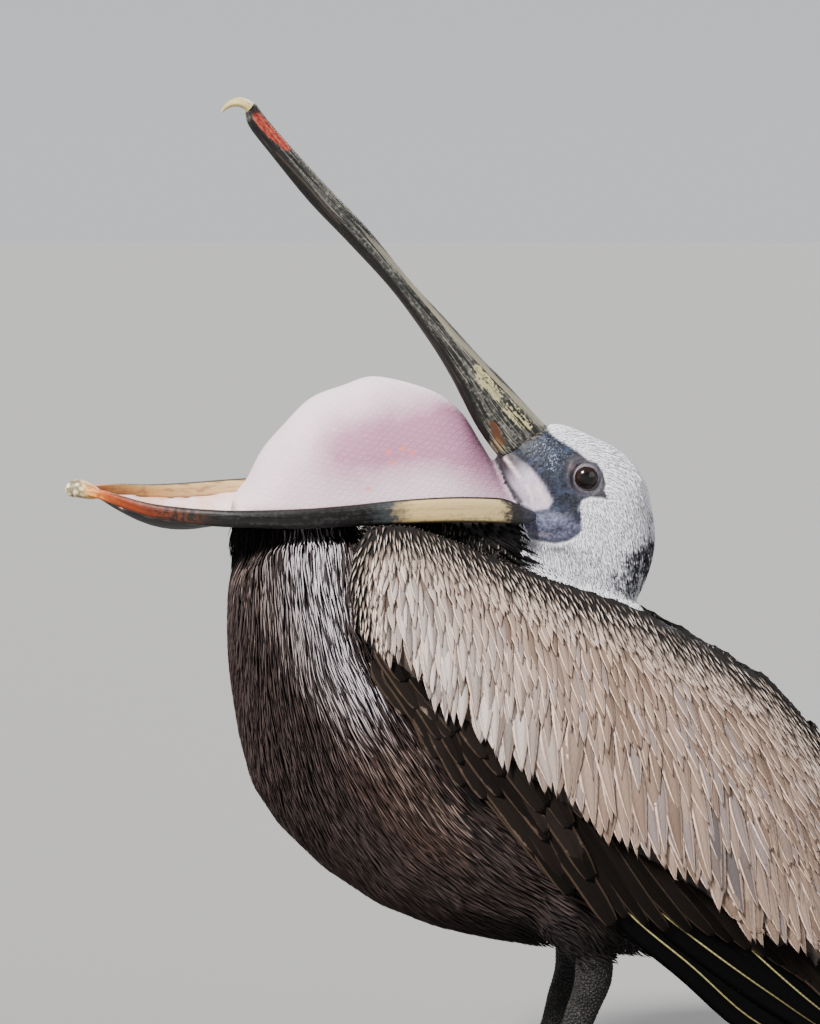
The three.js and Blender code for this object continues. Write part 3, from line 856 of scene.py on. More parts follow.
def skin_marks(points, normals, kind):
    """Every marking of the skin as a number at each point."""
    head_side, wing_side = flank(points, head=True), flank(points)
    local = to_head(points)
    is_head, is_pouch = kind == "head", kind == "pouch"
    on_face = is_head | is_pouch
    line = lambda *points_and_width: line_mark(head_side, *points_and_width)
    spread, reach = np.array(JAW_SPREAD).T
    outside_jaw = np.abs(local[:, 1]) - np.interp(local[:, 0], spread, reach)
    down_fold = ((head_side - (500, 452)) @ (0.6, 0.8)) / 50
    blush = (0.95 * line([(350, 446), (395, 440), (450, 436)], 36)
             + 0.4 * line([(290, 480), (335, 470)], 44)
             + 0.6 * line([(462, 432), (502, 490)], 30)
             + 0.45 * line([(400, 438), (440, 430), (486, 460)], 40))
    return {
        "bare": is_head * face_mark(points),
        "white": np.where(is_head, 1.0, ease((side_view(points)[:, 0] - 560) / 20) * (kind == "neck_upper")),
        # the nape mark holds the real dark patch and mottling, and painted shade up the back of the head
        "nape": (is_head | (kind == "neck_upper")) * nape_and_head_shade(head_side),
        "horn_edge": is_head * line([(550, 425), (535, 433), (518, 441), (497, 449)], 7),
        "eye_corner": is_head * line([(573, 468), (576, 474)], 2.6),
        "line_under": on_face * line([(520, 531), (532, 534), (548, 535)], 1.6),
        "fold": on_face * area(head_side, GAPE_FOLD, 2),
        # painted shade on the fold, fading from its top down to its bottom, and painted highlights along its
        # wrinkles
        "fold_low": ease(down_fold),
        "fold_streak": on_face * wrinkled(head_side, FOLD_HIGHLIGHTS, 1.6),
        # painted shade: a dark line in the crease between the mouth fold and the pouch
        "gape_line": on_face * line(GAPE_LINE, 2.3),
        "corner": on_face * area(head_side, JAW_CORNER, 7),
        "eye_patch": is_head * area(head_side, EYE_PATCH, 4),
        "speckle": is_head * line([(540, 448), (552, 450), (553, 462)], 10),
        "lid": is_head * ridge_at(from_eye(points), 8.9, 0.9),
        "pouch": is_pouch.astype(float),
        "blush": is_pouch * blush,
        "wart": is_pouch * wrinkled(head_side, [[(x, y), (x + 1, y)] for x, y in WARTS], 2.2),
        "mouth_floor": is_pouch * (1 - ease((head_side[:, 0] - 190) / 55)),
        # painted shade: the pouch's outer and downward-facing skin below the jaw bars, darkened where shade
        # falls under the jaw
        "under_jaw": is_pouch * np.maximum(ease((2.5 - local[:, 2]) / 2.5) * ease((0.4 - normals[:, 2]) / 0.3),
                                           ease((6 - local[:, 2]) / 2) * ease((outside_jaw + 3.6) / 2)),
        "leg": (kind == "leg").astype(float),
        "wing": (kind == "wing") * ease((distance_to_line(wing_side, RIDGE) - 26) / 30)
        * ease((-6 - below_tips(wing_side)) / 10),
    }


marks = skin_marks(skin_points, normals_of(skin_points, skin_faces), skin_kind)
SOFT_KEYS = ["pouch", "white", "leg", "under_jaw", "mouth_floor", "wing"]
softened = smoothed(np.stack([marks[key] for key in SOFT_KEYS], 1), skin_faces, 3)
marks.update(zip(SOFT_KEYS, softened.T))
print("marks of the skin", len(marks))


# %% Finish of the face
def face_colour(w, broad, fine):
    """Slate blue with dark and light mottles, purple-grey round the eye and at the corner of the jaw."""
    speck = w.grain(850, 3)
    slate = w.mix(fine.step(0.34, 0.7), (38, 42, 54), (76, 84, 102))
    corner = w.mix(fine.step(0.36, 0.68), (122, 124, 140), (162, 165, 182))
    rough_edge = (w.mark("horn_edge") + (speck - 0.5) * 1.6).step(0.4, 0.7)
    slate = w.coats(
        slate, (w.grain(150, 3).step(0.48, 0.72) * 0.6, (108, 120, 144)),
        (broad.step(0.45, 0.65) * 0.3, (66, 72, 94)),
        (speck.step(0.54, 0.68) * w.mark("speckle"), (170, 180, 194)),
        (w.mark("eye_patch") * 0.8, w.mix(fine, (92, 86, 96), (124, 118, 126))),
        (w.mark("corner") * 0.85, corner),
        (rough_edge, w.mix(fine.step(0.45, 0.6), (36, 36, 38), (128, 124, 108))),
        (w.mark("line_under") * 0.7, (176, 172, 174)), (w.mark("eye_corner") * 0.5, (178, 152, 158)))
    return w.mix(w.mark("lid") * 0.7, slate, (158, 152, 160))


def fold_colour(w, fine):
    """The fold at the mouth, grey above from painted shade and nearly white below, its edges darkened by
    painted shade and its wrinkles brightened by painted highlights.
    """
    # painted shade greys the top of the fold under the bill and darkens its edges; painted highlights run along
    # its wrinkles
    fold = w.mix(w.mark("fold_low").step(0.15, 0.95), (84, 78, 84), (206, 202, 207))
    fold = w.coats(
        fold, (fine.step(0.45, 0.75) * 0.4, (140, 134, 148)), ((1 - w.mark("fold")) * 0.8, (96, 96, 112)))
    return w.mix(w.mark("fold_streak") * 0.8, fold, (238, 232, 232))


# %% Finish of the pouch
def pouch_colour(w, broad):
    """Cream at the edge, pink where it is stretched thin, with a fine net of veins, and painted shade, nearly
    black, on its underside below the jaw.
    """
    place = w.node("ShaderNodeTexCoord", out=OBJECT_PLACE)
    bent = w.node("ShaderNodeTexNoise", None, {"Vector": place, "Scale": 45.0, "Detail": 2.0}, out=1)
    straight, bent = (w.node("ShaderNodeVectorMath", {"operation": "MULTIPLY_ADD"},
                             {0: bent, 1: (amount,) * 3, 2: place}) for amount in (0.006, 0.02))
    nets = []
    for tilt, scale in (((150, 90, 330), 1.0), ((330, 120, 210), 1.2)):
        spread = w.node("ShaderNodeVectorMath", {"operation": "MULTIPLY"}, {0: bent, 1: tilt})
        cell = w.node("ShaderNodeTexVoronoi", {"feature": "DISTANCE_TO_EDGE"},
                      {"Vector": spread, "Scale": scale})
        nets.append((1 - cell.step(0.0, 0.09)) * 0.45)
    split = w.node("ShaderNodeSeparateXYZ", None, {0: straight})
    level, height = split, Wire(w.tree, split.socket.node.outputs[2])
    for forward, upward in ((520, 560), (170, -820)):
        nets.append(w.sum("ABSOLUTE", w.sum("SINE", level * forward + height * upward)).step(0.88, 1.0) * 0.6)
    vein = w.sum("MAXIMUM", w.sum("MAXIMUM", nets[0], nets[1]), w.sum("MAXIMUM", nets[2], nets[3]))
    blush = w.mark("blush") * (0.85 + 0.5 * (broad - 0.5))
    throat = w.mix(blush, (243, 237, 239), (202, 172, 186))
    throat = w.coats(
        throat, (vein * (0.08 + 0.3 * blush), (156, 122, 140)), (w.mark("wart") * 0.75, (224, 160, 118)),
        (w.mark("mouth_floor") * broad.step(0.3, 0.6) * 0.7, (222, 198, 168)))
    # painted shade: below the jaw the pouch is mixed to near black
    return w.mix(w.mark("under_jaw"), throat, (30, 27, 27)), vein


# %% Finish of the skin
def skin_nodes(w):
    bare, pouch, leg, white = w.mark("bare"), w.mark("pouch"), w.mark("leg"), w.mark("white")
    broad, fine = w.grain(70, 3), w.grain(430, 4)
    under = w.mix(w.mark("wing"), (34, 28, 27), (150, 136, 128))
    under = w.coats(
        # the nape mark greys the skin: the real dark patch and mottling, and painted shade up the back of the
        # head
        under, (white, (228, 228, 230)), (w.mark("nape") * 0.8, (70, 70, 78)))
    slate, fold = face_colour(w, broad, fine), fold_colour(w, fine)
    throat, vein = pouch_colour(w, broad)
    throat = w.mix(w.mark("corner") * 0.8, throat, (84, 80, 92))
    scale = w.node("ShaderNodeTexVoronoi", {"feature": "DISTANCE_TO_EDGE"},
                   {"Vector": w.node("ShaderNodeTexCoord", out=OBJECT_PLACE), "Scale": 420.0})
    shank = w.mix(scale.step(0.02, 0.12), (20, 19, 19), (54, 50, 49))
    shank = w.mix(broad.step(0.45, 0.7) * 0.6, shank, (84, 79, 76))
    colour = w.mix(bare, under, slate)
    colour = w.coats(
        # painted shade in the crease at the gape
        colour, (pouch, throat), (w.mark("fold"), fold), (w.mark("gape_line") * 0.9, (26, 22, 27)),
        (leg, shank))
    wrinkle = vein * pouch * 0.3 + w.grain(520, 3) * bare * (1 - w.mark("fold"))
    roughness = 0.72 - 0.24 * pouch - 0.26 * bare - 0.2 * leg + 0.1 * fine
    return colour, roughness, wrinkle * 0.8 + scale.step(0.0, 0.2) * leg * 0.7, 0.0009


skin_finish = finish("bird_skin", skin_nodes, Specular_IOR_Level=0.3)
skin_mesh = mesh_of("skin", skin_points, skin_faces, **marks)
SKIN_NODES = [n for n in nodes if n.rsplit("_", 1)[0] in ("thigh", "shank", "foot", "wing")]
piece("skin", skin_mesh, skin_finish, "pouch_skin", *SKIN_NODES, "trunk", "neck_base", "neck_upper",
      "head", "pouch")

# %% [markdown]
# ## Horn of the bill
# The upper bill is a long flat blade with a raised ridge down its middle, a groove on each side of the ridge
# and a hooked nail at its tip. The two bars of the lower jaw bow apart to hold the pouch open. All are lofts
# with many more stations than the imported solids, so that grooves and edges are real shape. Each point also
# remembers how far along the bill it lies, which lets the streaks of the horn run lengthwise.

# %% Upper bill and nail
# Stations from root to tip: ridge x and z, edge x and z, and half the width.
BILL = [[33, 47, 67, 30, 13.5], [39, 52.5, 73, 34.5, 16.5], [56, 71, 86, 53, 15], [70, 86.5, 97, 74, 13.5],
        [84, 100.5, 104.5, 88.4, 12.5], [105.3, 124.7, 119.5, 113.2, 11.5], [133.7, 155.9, 145.2, 148.8, 10.5],
        [161.7, 190.9, 174.6, 181.7, 10], [190.1, 221.1, 202.8, 211.7, 10], [219, 253.4, 229.3, 244.9, 10.5],
        [233, 270.2, 243.6, 263.8, 10.5], [239.8, 279.5, 246.7, 272.9, 8.5]]
NAIL = [[240.8, 279.8, 246.2, 273.6, 7.5], [245.9, 282.6, 247.4, 275.6, 7], [252.2, 283.7, 251.6, 277.2, 5.6],
        [258, 281.4, 256.1, 277, 4], [261.8, 277.6, 260, 275.2, 2.2], [263.6, 274.3, 262.6, 273.1, 0.8]]
GROOVE_AT, GROOVE_WIDE, GROOVE_DEEP = 0.29 * math.pi, 0.09, 0.13


def bill_section(angle):
    """Raised ridge on top with a groove on each side, and down-turned cutting edges."""
    across, up = np.cos(angle), np.sin(angle)
    above = np.abs(up)
    top = 0.62 * above ** 2.6 + 0.38 * above - 0.25 * (1 - above)
    for at in (GROOVE_AT, math.pi - GROOVE_AT):
        top -= GROOVE_DEEP * ridge_at(angle, at, GROOVE_WIDE)
    below = 1.15 * (-0.25 + 0.5 * up - 0.25 * np.abs(np.sin(2 * angle)))
    return np.where(up >= 0, across, across * 0.94), np.where(up >= 0, top, below)


def horn(name, rows, around, along, section=oval, side=1, **extra):
    """A lofted piece of horn. It remembers along, across and ridge for its streaks, and extra markings."""
    points, faces = loft(rows, around, along, section)
    if side < 0:
        points, faces = points * (1, -1, 1), faces[:, ::-1]
    ring = np.arange(around) / around * 2 * np.pi
    length = np.linalg.norm(points[-1] - points[-2]) * MM
    lengths = np.append(np.repeat(np.arange(along + 1) / along, around), [0, 1]) * length
    across, ridge = (np.append(np.tile(part, along + 1), [0, 0]) for part in (np.cos(ring), np.sin(ring)))
    world = from_head(points)
    seen = flank(world, head=True)
    own = {key: build(seen, *shape) for key, (build, *shape) in extra.items()}
    return mesh_of(name, world, faces, along=lengths, across=across, ridge=ridge, **own)


# %% Markings of the upper bill
CORAL = [(251, 113), (257, 110), (270, 124), (289, 145), (292, 151), (285, 151), (268, 137), (256, 123)]
CREAM = [[(471, 368), (479, 364), (502, 390), (503, 402), (495, 401), (480, 385)],
         [(499, 402), (509, 401), (531, 420), (535, 431), (521, 427), (505, 415)]]
ORANGE_SPOT = [(487, 419), (496, 422), (506, 443), (498, 449)]
DARK_TIP = [(235, 95), (262, 95), (262, 112), (250, 116), (235, 116)]
RIDGE_LINE = [(352, 216), (400, 271), (450, 330), (500, 383), (528, 410), (542, 424)]
LOWER_BAND = [(252, 128), (300, 188), (340, 232), (380, 276), (410, 317), (440, 357), (462, 395), (482, 438)]
THIN_LINE = [(277, 153), (311, 190), (340, 224)]


def cream_mark(seen):
    return np.maximum(area(seen, CREAM[0], 3), 0.92 * area(seen, CREAM[1], 5))


def ridge_mark(seen):
    return line_mark(seen, RIDGE_LINE, 2.8) * ease((seen[:, 0] - 310) / 110)


bill_mesh = horn("upper_bill", BILL, 112, 200, bill_section, coral=(area, CORAL, 1.3), cream=(cream_mark,),
                 orange=(area, ORANGE_SPOT, 4), pale_line=(ridge_mark,),
                 spot_end=(line_mark, [(495, 443), (500, 449)], 3.5), dark_band=(line_mark, LOWER_BAND, 9.5),
                 thin_line=(line_mark, THIN_LINE, 0.9), tip_dark=(area, DARK_TIP, 3))
nail_mesh = horn("bill_nail", NAIL, 56, 60)


# %% Finish of the upper bill
def lengthwise(w, fine):
    """Noise drawn out along the horn, finer across it the larger fine is."""
    place = w.node("ShaderNodeCombineXYZ", None,
                   {0: w.mark("along") * 34, 1: w.mark("across") * fine, 2: w.mark("ridge") * fine})
    return w.node("ShaderNodeTexNoise", None, {"Vector": place, "Scale": 1.0, "Detail": 3.0})


def bill_nodes(w):
    streak, hair, spot, crack = lengthwise(w, 7), lengthwise(w, 19), w.grain(420, 4), lengthwise(w, 11)
    colour = w.mix(streak.step(0.42, 0.62), (30, 29, 27), (104, 103, 96))
    # painted shade along the lower edge of the bill, streaked like the horn
    band = (w.mark("dark_band") + (streak - 0.5) * 0.5).step(0.3, 0.62)
    pale = (w.mark("pale_line") + (streak - 0.5) * 0.9).step(0.35, 0.7)
    frayed = (w.mark("cream") * 0.88 + (hair - 0.5) * 2.4 + (spot - 0.5) * 1.8).step(0.55, 0.72)
    orange = (w.mark("orange") + (hair - 0.5) * 1.8 + (streak - 0.5) * 1.2).step(0.4, 0.9)
    coral = (w.mark("coral") * 0.95 + (hair - 0.5) * 1.2 + (spot - 0.5) * 0.9).step(0.3, 0.95)
    base = 1 - (w.mark("along") + (hair - 0.5) * 0.05 + (spot - 0.5) * 0.03).step(0.010, 0.021)
    colour = w.coats(
        colour, (hair.step(0.52, 0.64) * 0.7, (178, 176, 166)),
        ((1 - crack).step(0.54, 0.62) * 0.9, (18, 17, 16)),
        (spot.step(0.5, 0.62) * streak.step(0.35, 0.6) * 0.6, (168, 166, 158)),
        (band * 0.95, w.mix(hair.step(0.6, 0.72), (16, 14, 13), (88, 80, 70))),
        (w.mark("thin_line") * 0.8, (112, 98, 84)),
        (pale * w.mark("pale_line").step(0.05, 0.3) * 0.85, (180, 176, 158)),
        (frayed * w.mark("cream").step(0.05, 0.3), w.mix(spot, (164, 162, 136), (204, 200, 172))),
        (orange * w.mark("orange").step(0.03, 0.2), w.mix(hair * 0.7, (96, 58, 30), (146, 102, 64))),
        (w.mark("spot_end") * hair.step(0.4, 0.6) * 0.7, (196, 184, 150)),
        (coral * w.mark("coral").step(0.02, 0.2),
         w.mix((streak * 0.5 + spot * 0.5).step(0.36, 0.62), (156, 62, 44), (202, 124, 96))),
        (w.mark("tip_dark") * 0.85, (34, 30, 28)),
        (base, w.mix(spot.step(0.4, 0.62), (44, 48, 58), (112, 122, 142))))
    relief = streak * 0.5 + hair * 0.3 + spot * 0.08
    return colour, 0.46 - 0.16 * streak + 0.14 * spot, relief, 0.0005


def nail_nodes(w):
    streak, spot = lengthwise(w, 12), w.grain(300, 3)
    tip = w.mark("along").step(0.014, 0.028)
    colour = w.mix(streak.step(0.35, 0.7), (182, 170, 118), (218, 212, 180))
    colour = w.mix(tip, colour, (240, 236, 222))
    return colour, 0.34 + 0.2 * spot, streak, 0.0003


bill_finish = finish("streaked_horn", bill_nodes, Specular_IOR_Level=0.35)
nail_finish = finish("nail_horn", nail_nodes)
piece("upper_bill", bill_mesh, bill_finish, "bill_horn", "bill_upper")
piece("nail", nail_mesh, nail_finish, "nail_horn", "bill_nail")

# %% Lower jaw
JAW = [[363, 8.5, 362, 3.3, 3, 2.5], [350, 7.5, 350, 0.9, 3.2, 8], [336, 6, 336, -2.2, 3.4, 18],
       [315, 3, 315, -6.7, 3.6, 29.5], [294, 2, 294, -8.6, 3.6, 38], [270, 2, 270, -9.6, 3.6, 46.5],
       [248, 2.5, 248, -9.5, 3.6, 51], [210, 4, 210, -10, 3.7, 53], [175, 6, 175, -9, 3.7, 50],
       [140, 9, 140, -8, 3.8, 47], [105, 10, 105, -8, 3.9, 42], [75, 8, 75, -10, 3.9, 35],
       [64, 5.3, 64, -11.4, 3.8, 31.5], [54, -0.4, 54, -11.8, 3.2, 28], [45, -5.2, 45, -10.6, 2, 23],
       [37, -7.6, 37, -9.4, 1, 15]]
JAW_TIP = [[374, 8, 374, 4, 1.5], [371, 11.5, 371, 1, 5], [364, 13, 364, 0, 6.6], [356, 10, 356, -1, 6],
           [350, 6, 350, 0, 3]]
JAW_START, JAW_END = 60.0, 560.0


def column_share(column):
    """Where a column of the side view lies in the jaw's span, from 0 to 1."""
    return (column - JAW_START) / (JAW_END - JAW_START)


def column_mark(seen):
    return column_share(seen[:, 0])


def jaw_section(angle):
    """A bar with flat sides, a rounded top edge and a shallow groove along its outer face."""
    across, up = oval(angle, 2.6)
    return across * (1 - 0.1 * ridge_at(up, 0, 0.28)), up


def banded(w, share, *stops):
    """A colour that changes along the jaw, from stops that are a column and a colour."""
    stops = [(column_share(column), paint(*colour)) for column, colour in stops]
    return w.node("ShaderNodeValToRGB", {"stops": stops}, {0: share})


# %% Finish of the jaw
def jaw_nodes(w):
    streak, spot, rough = lengthwise(w, 5), w.grain(330, 4), w.grain(120, 5, (1, 1, 0.8))
    crack = 1 - w.sum("ABSOLUTE", rough * 2 - 1)
    column = w.mark("column") + (spot - 0.5) * 0.05 + (streak - 0.5) * 0.05
    # the pale yellow stop at column 90, near the front of the outer face, is a painted highlight
    outer = banded(w, column, (90, (214, 184, 122)), (101, (196, 128, 36)), (118, (164, 78, 8)),
                   (150, (142, 60, 10)), (185, (112, 66, 38)), (214, (18, 14, 13)), (366, (15, 12, 12)),
                   (392, (96, 102, 104)), (414, (206, 195, 158)), (500, (204, 194, 162)),
                   (508, (120, 112, 98)), (514, (50, 43, 44)), (523, (60, 56, 63)), (534, (100, 102, 118)))
    inner = banded(w, column, (100, (164, 118, 54)), (140, (196, 176, 122)), (185, (204, 192, 156)),
                   (330, (210, 202, 176)), (520, (120, 96, 84)))
    inner = w.mix(w.grain(160, 5, (0.35, 1, 1.6)).step(0.5, 0.66) * 0.55, inner, (158, 112, 84))
    top = banded(w, column, (95, (214, 140, 60)), (120, (110, 66, 34)), (150, (44, 32, 30)),
                 (540, (32, 27, 28)))
    outside = w.mark("across").step(-0.15, 0.25)
    colour = w.mix(outside, inner, outer)
    mottled = (column.step(0.15, 0.24) - column.step(0.3, 0.34)) * spot.step(0.49, 0.55)
    worn = column.step(0.3, 0.36) * (1 - column.step(0.6, 0.7)) * (spot * streak).step(0.27, 0.36)
    edge = w.mark("ridge")
    fine_crack = crack.step(0.95, 0.99) * column.step(0.72, 0.86) * (0.0 - edge).step(-0.2, 0.5)
    stain = (spot * 0.6 + streak * 0.4).step(0.53, 0.64)
    stain = stain * (0.0 - edge).step(-0.4, 0.7) * column.step(0.66, 0.72)
    colour = w.coats(
        colour, (mottled * outside * 0.9, (40, 28, 26)), (worn * outside * 0.35, (92, 88, 86)),
        (edge.step(0.84, 0.95) * (1 - column.step(0.93, 0.97)), top),
        ((0.0 - edge).step(0.62, 0.86) * outside * 0.92, (30, 25, 24)), (fine_crack * 0.4, (92, 96, 88)),
        (stain * outside * 0.45, (120, 124, 112)))
    return colour, 0.38 + 0.25 * spot, streak * 0.5 + spot * 0.4, 0.0007


jaw_finish = finish("jaw_horn", jaw_nodes, Specular_IOR_Level=0.35)
for name, side in SIDES:
    jaw_mesh = horn(f"jaw_{name}", JAW, 32, 200, jaw_section, side, column=(column_mark,))
    piece(f"jaw_{name}", jaw_mesh, jaw_finish, "jaw_horn", f"mandible_{name}")


# %% Tip of the jaw
def knob_nodes(w):
    spot = w.grain(260, 3)
    colour = w.mix(spot.step(0.4, 0.62), (158, 150, 132), (224, 218, 198))
    colour = w.mix(w.mark("along").step(0.010, 0.020), colour, (208, 180, 112))
    return colour, 0.36 + 0.2 * spot, spot, 0.0003


knob_finish = finish("knob_horn", knob_nodes, Specular_IOR_Level=0.35)
tip_mesh = horn("jaw_tip", JAW_TIP, 36, 40)
piece("jaw_tip", tip_mesh, knob_finish, "nail_horn", "mandible_tip")

# %% [markdown]
# ## Eyes
# The eye is a ball with a slightly bulging clear front. Seen close, its iris is a very dark brown with fine
# spokes round a black pupil. The ball's rings run round the line of sight, so the angle from that line, kept at
# each point, is all the finish needs. A clear coat gives the wet shine.

# %% Eyes
RINGS, SPOKES = 48, 64
PUPIL, IRIS = 0.46, 1.02
BULGE, BULGE_SPREAD = 0.35, 0.62


def eye_mesh(name, side):
    """A ball of rings round the line of sight, with a bulging front."""
    turn = np.linspace(0, math.pi, RINGS)[1:-1]
    round_it = np.arange(SPOKES) / SPOKES * 2 * math.pi
    radius = EYE_RADIUS + BULGE * ridge_at(turn, 0, BULGE_SPREAD)
    ring = np.stack([np.sin(turn)[:, None] * np.cos(round_it), np.cos(turn)[:, None] * np.ones(SPOKES),
                     np.sin(turn)[:, None] * np.sin(round_it)], 2) * radius[:, None, None]
    points = np.concatenate([ring.reshape(-1, 3), [[0, EYE_RADIUS + BULGE, 0], [0, -EYE_RADIUS, 0]]])
    faces = ring_faces(SPOKES, len(turn) - 1)
    from_sight = np.append(np.repeat(turn, SPOKES), [0, math.pi])
    world = from_head((points + EYE_CENTRE) * (1, side, 1))
    return mesh_of(name, world, outward(world - world.mean(0), faces), from_sight=from_sight)


def eye_nodes(w):
    turn = w.mark("from_sight") + (w.grain(900, 2) - 0.5) * 0.06
    fibre = w.grain(1400, 3)
    iris = w.mix(fibre.step(0.35, 0.7), (34, 22, 20), (74, 44, 34))
    colour = w.mix(turn.step(PUPIL, PUPIL + 0.07), (5, 4, 4), iris)
    colour = w.mix(turn.step(IRIS - 0.12, IRIS), colour, (16, 12, 12))
    return colour, 0.16 + 0.1 * fibre


eye_finish = finish("wet_eye", eye_nodes, Coat_Weight=0.7, Coat_Roughness=0.02, Specular_IOR_Level=0.1)
for name, side in SIDES:
    piece(f"eyeball_{name}", eye_mesh(f"eyeball_{name}", side), eye_finish, "eye", f"eye_{name}")

# %% [markdown]
# ## Claws
# Each toe ends in a small curved claw of dark horn, worn paler in places. It begins inside the tip of the
# toe and narrows to a point that dips to the ground.

# %% Claws
def claw_rows(length, tip):
    """Stations of a claw for a toe of this length, as thick at its root as the toe's tip."""
    start = length + tip * 0.8 - 1
    at = [start + CLAW_LENGTH * share for share in (0, 0.4, 0.8, 1)]
    return [[at[0], tip * 1.25, at[0], tip * 0.15, tip * 0.5],
            [at[1], tip * 1.35, at[1], tip * 0.3, tip * 0.45],
            [at[2], tip * 0.85, at[2] - 0.5, tip * 0.15, tip * 0.25],
            [at[3], tip * 0.3, at[3] - 0.2, tip * 0.12, tip * 0.08]]


def claw_nodes(w):
    wear = w.grain(500, 4).step(0.45, 0.75)
    return w.mix(wear, (22, 20, 20), (70, 64, 60)), 0.3 + 0.25 * wear, wear, 0.0002


claw_finish = finish("claw_horn", claw_nodes)
CLAW_NAMES = ("inner_hind", "inner", "middle", "outer")
for leg, (side, _, step) in LEGS.items():
    bodies = []
    for heading, length, root, tip in TOES:
        points, faces = loft(claw_rows(length, tip), 16, 20)
        points = placed_on_leg(turned(points, heading), side, step)
        bodies.append((points, outward(points - points.mean(0), faces)))
    piece(f"claws_{leg}", mesh_of(f"claws_{leg}", *merged(bodies)), claw_finish, "claw_horn",
          *[f"claw_{toe}_{leg}" for toe in CLAW_NAMES])

# %% [markdown]
# ## How a feather is laid
# Every feather starts at a root on the skin and follows the lie of the plumage over the body, its root low
# in the coat and its tip higher, so that each one lies over the roots of those behind it like a roof tile.
# The lie is a field of arrows drawn on the side view. At each step the feather is carried along the arrow and
# dropped back onto the skin. Where the skin ends, as at the rim of the wing, the feather runs on
# straight, which gives the free tips. The feather itself is a closed ring of points drawn along that line.

# %% Ground for the feathers
rng = np.random.default_rng(41)
skin_normals = normals_of(skin_points, skin_faces)
skin_tree = tree_of(skin_points, skin_faces)
face_normals = unit(skin_normals[skin_faces].mean(1))
face_middles = skin_points[skin_faces].mean(1)
face_kind = skin_kind[skin_faces[:, 0]]


# %% The lie of the plumage
# Each arrow is a column and a row, and how far it points to the right and down there.
BODY_LIE = [(245, 560, 0.02, 1), (235, 640, -0.02, 1), (240, 720, 0.1, 1), (255, 790, 0.25, 1),
            (290, 545, 0.05, 1), (290, 650, 0.12, 1), (300, 740, 0.3, 1), (300, 830, 0.55, 1),
            (335, 545, 0.12, 1), (335, 620, 0.28, 1), (350, 690, 0.5, 1), (370, 760, 0.62, 1),
            (350, 850, 0.8, 0.9), (420, 790, 0.75, 1), (420, 880, 0.9, 0.6), (480, 850, 0.9, 0.75),
            (490, 920, 1, 0.35), (540, 900, 1, 0.5), (560, 945, 1, 0.2), (600, 930, 0.7, 0.8),
            (650, 940, 1, 0.3), (720, 960, 1, 0.5), (800, 980, 1, 0.7), (450, 540, 0.5, 0.8),
            (520, 560, 0.8, 0.5)]
WING_LIE = [(350, 550, -0.25, 1), (352, 600, 0.0, 1), (375, 535, -0.35, 1), (400, 560, -0.12, 1),
            (430, 540, -0.05, 1), (450, 620, 0.02, 1), (400, 640, 0.1, 1), (520, 590, 0.0, 1),
            (540, 680, 0.04, 1), (600, 640, 0.02, 1), (600, 720, 0.08, 1), (680, 660, 0.1, 1),
            (700, 780, 0.18, 1), (750, 700, 0.28, 1), (750, 850, 0.26, 1), (800, 760, 0.38, 1),
            (800, 900, 0.36, 1), (850, 800, 0.5, 1), (860, 940, 0.5, 1), (900, 900, 0.6, 1)]
HEAD_LIE = [(548, 428, 1, 0.15), (580, 434, 1, 0.35), (610, 452, 0.9, 0.6), (635, 480, 0.5, 1),
            (650, 520, 0.1, 1), (650, 560, -0.15, 1), (640, 600, -0.1, 1), (612, 480, 0.8, 0.7),
            (612, 520, 0.5, 1), (590, 520, 0.5, 0.9), (600, 560, 0.35, 1), (570, 560, 0.35, 1),
            (540, 560, 0.25, 1), (540, 590, 0.4, 1), (600, 600, 0.3, 1)]
LIE_BLUR, LIE_FALL = 150, 1.6


def arrows(points, lie, head):
    """Direction of the plumage at each point, in the plane of the side view, mostly from the nearest arrows."""
    lie = np.array(lie, float)
    places = flank(points, head)
    away = ((places[:, None] - lie[None, :, :2]) ** 2).sum(2)
    weight = 1 / (away + LIE_BLUR) ** LIE_FALL
    way = unit((weight[:, :, None] * lie[None, :, 2:]).sum(1))
    return np.stack([-way[:, 0], np.zeros(len(way)), -way[:, 1]], 1)


def lie_on(points, normals, lie, head=False, stray=0):
    """The lie along the surface. Behind the ridge of the wing it turns up and over to the outer side. On the
    body it bends only outwards, so that seen from the side it keeps the direction of the arrows."""
    way = arrows(points, lie, head) + stray
    if lie is WING_LIE:
        side = np.sign(points[:, 1])
        behind = np.clip(0.55 - normals[:, 1] * side, 0, 1) * ease((points[:, 0] + 0.09) / 0.05)
        way += behind[:, None] * np.stack([0 * side, side * 1.3, 1.7 + 0 * side], 1)
    if lie is BODY_LIE:
        outward = normals[:, 1]
        way[:, 1] -= (way * normals).sum(1) * outward / (outward ** 2 + 0.03)
    way -= normals * (way * normals).sum(1, keepdims=True)
    return unit(way, 1e-6)


# %% Scattered roots
TRIES = 5
NEIGHBOURS = list(itertools.product((0, -1, 1), repeat=3))


def crowded(taken, cell, place, way, ease_off):
    """Whether a root already taken lies too close, where closeness along the feather's way counts for less."""
    x, y, z = place
    dx, dy, dz = way
    for i, j, k in NEIGHBOURS:
        for qx, qy, qz in taken.get((cell[0] + i, cell[1] + j, cell[2] + k), ()):
            ox, oy, oz = x - qx, y - qy, z - qz
            along = ox * dx + oy * dy + oz * dz
            if ox * ox + oy * oy + oz * oz - ease_off * along * along < 1:
                return True
    return False


